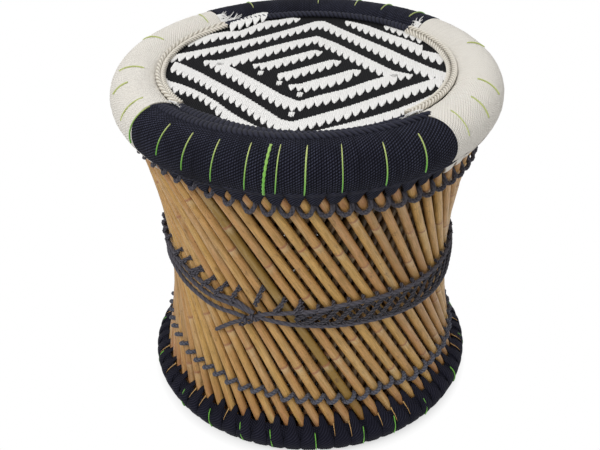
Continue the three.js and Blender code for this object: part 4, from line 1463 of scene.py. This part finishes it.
def green_course(roll, turn, span, inset, sway):
    bearing = np.linspace(*span, GREEN_STEPS)
    r, z = roll.section(bearing, inset)
    lean = read_table(GREEN_LEAN, turn)
    turns = turn + lean * (bearing - bearing.mean()) + sway * np.sin(2 * bearing + 5 * turn)
    return polar(r, turns, z), turns


def add_green(form, roll, turn, half_w, span, drops, inset=GREEN_INSET):
    path, turns = green_course(roll, turn, span, inset, GREEN_SWAY)
    side = polar(1, turns + math.pi / 2, 0)
    proud = unit(np.cross(side, np.gradient(path, axis=0)))
    angle = np.arange(GREEN_SIDES) / GREEN_SIDES * FULL
    taper = half_w * MM * np.sqrt(1 - np.linspace(-0.98, 0.98, GREEN_STEPS) ** 8)
    across, rise = taper[:, None] * np.cos(angle), GREEN_H * np.sin(angle)
    rings = rings_round(path, side[:, None], proud[:, None], across, rise)
    around = np.arange(GREEN_SIDES + 1) / GREEN_SIDES
    drop = np.linspace(*drops, GREEN_STEPS)[:, None]
    form.add(rings, lengths(path) / MM, around, crown=1.0, drop=drop)


form = Form()
for turn, half_w, *span in GREEN_STRANDS:
    if half_w > THICKEST:
        path, _ = green_course(rim_roll, turn, span, GREEN_INSET, 0)
        drop = np.linspace(*THICK_DROPS, GREEN_STEPS)[:, None]
        add_cord(form, path, half_w * MM, *TWISTS["green"], drop=drop)
    else:
        add_green(form, rim_roll, turn, half_w, span, RIM_DROPS)
for turn, *span in CREAM_STRANDS:
    add_green(form, rim_roll, turn, CREAM_HALF_W, span, CREAM_DROPS, CREASE)
first, last = BASE_STRAND_TURNS[-1] + BASE_STRAND_STEP, BASE_STRAND_TURNS[0] + FULL
for turn in (*BASE_STRAND_TURNS, *np.arange(first, last, BASE_STRAND_STEP)[:-1]):
    add_green(form, base_roll, turn, BASE_HALF_W, BASE_SPAN, BASE_DROPS)
form.build("green_strands", green, "green_cord")


# Floor, light and camera

# The floor's half size, and how far from the stool's axis it glows white to the camera
FLOOR_HALF = 6.0
GLOW_FROM = 0.15
GLOW_TO = 0.19
SOFT_LIGHT = 0.3
# Each lamp's place, aim, side and power
LAMPS = {
    "key": ((-0.9, -1.4, 1.9), (0, 0, 0.2), 1.2, 30),
    "fill": ((1.5, -1.0, 1.2), (0, 0, 0.2), 1.4, 5),
    "top": ((0.1, 0.5, 2.2), (0, 0, 0.3), 1.6, 12),
}


def seen_rays(nodes, links):
    """1 for the rays that show a background: the camera's, a reflection's and a window's."""
    rays = nodes.new("ShaderNodeLightPath").outputs
    seen = rays["Is Camera Ray"]
    for kind in ("Is Glossy Ray", "Is Transmission Ray"):
        most = nodes.new("ShaderNodeMath")
        most.operation = "MAXIMUM"
        links.new(seen, most.inputs[0])
        links.new(rays[kind], most.inputs[1])
        seen = most.outputs[0]
    return seen


def floor():
    mesh = bpy.data.meshes.new("floor")
    corners = [(x * FLOOR_HALF, y * FLOOR_HALF, 0) for x, y in ((-1, -1), (1, -1), (1, 1), (-1, 1))]
    mesh.from_pydata(corners, [], [(0, 1, 2, 3)])
    shader = Shader("pale_floor", 0.8, 0.1)
    shader.finish(srgb(238, 238, 238))
    away = shader.node("VectorMath", {"operation": "LENGTH"})
    shader.links.new(shader.object_place(), away.inputs[0])
    clear = shader.spread(away.outputs["Value"], GLOW_FROM, GLOW_TO)
    mix = shader.node("MixShader", Fac=shader.times(seen_rays(shader.nodes, shader.links), clear))
    glow = shader.node("Emission", Color=(1, 1, 1, 1), Strength=1.0)
    shader.links.new(shader.surface.outputs[0], mix.inputs[1])
    shader.links.new(glow.outputs[0], mix.inputs[2])
    shader.links.new(mix.outputs[0], shader.nodes["Material Output"].inputs["Surface"])
    mesh.materials.append(shader.material)
    ground = bpy.data.objects.new("floor", mesh)
    scene.collection.objects.link(ground)


def lamp(name, place, target, size, power):
    light = bpy.data.lights.new(name, "AREA")
    light.size = size
    light.energy = power
    lamp_object = bpy.data.objects.new(name, light)
    lamp_object.location = place
    aim = Vector(target) - Vector(place)
    lamp_object.rotation_euler = aim.to_track_quat("-Z", "Y").to_euler()
    scene.collection.objects.link(lamp_object)


def backdrop():
    """White to the camera, and a soft even light to everything else."""
    scene.world = bpy.data.worlds.new("studio")
    scene.world.use_nodes = True
    nodes, links = scene.world.node_tree.nodes, scene.world.node_tree.links
    white = nodes.new("ShaderNodeBackground")
    for background, strength in ((nodes["Background"], SOFT_LIGHT), (white, 1)):
        background.inputs["Color"].default_value = (1, 1, 1, 1)
        background.inputs["Strength"].default_value = strength
    mix = nodes.new("ShaderNodeMixShader")
    links.new(seen_rays(nodes, links), mix.inputs[0])
    links.new(nodes["Background"].outputs[0], mix.inputs[1])
    links.new(white.outputs[0], mix.inputs[2])
    links.new(mix.outputs[0], nodes["World Output"].inputs["Surface"])


def camera():
    data = bpy.data.cameras.new("camera")
    data.lens = CAMERA_LENS
    data.sensor_width = CAMERA_SENSOR
    eye = bpy.data.objects.new("camera", data)
    tilt = Matrix.Rotation(math.pi / 2 - CAMERA_PITCH, 4, "X")
    turn = tilt @ Matrix.Rotation(CAMERA_ROLL, 4, "Z")
    eye.matrix_world = Matrix.Translation(CAMERA_AT) @ turn
    scene.collection.objects.link(eye)
    scene.camera = eye


floor()
backdrop()
for name, settings in LAMPS.items():
    lamp(name, *settings)
camera()
scene.view_settings.view_transform = "Standard"
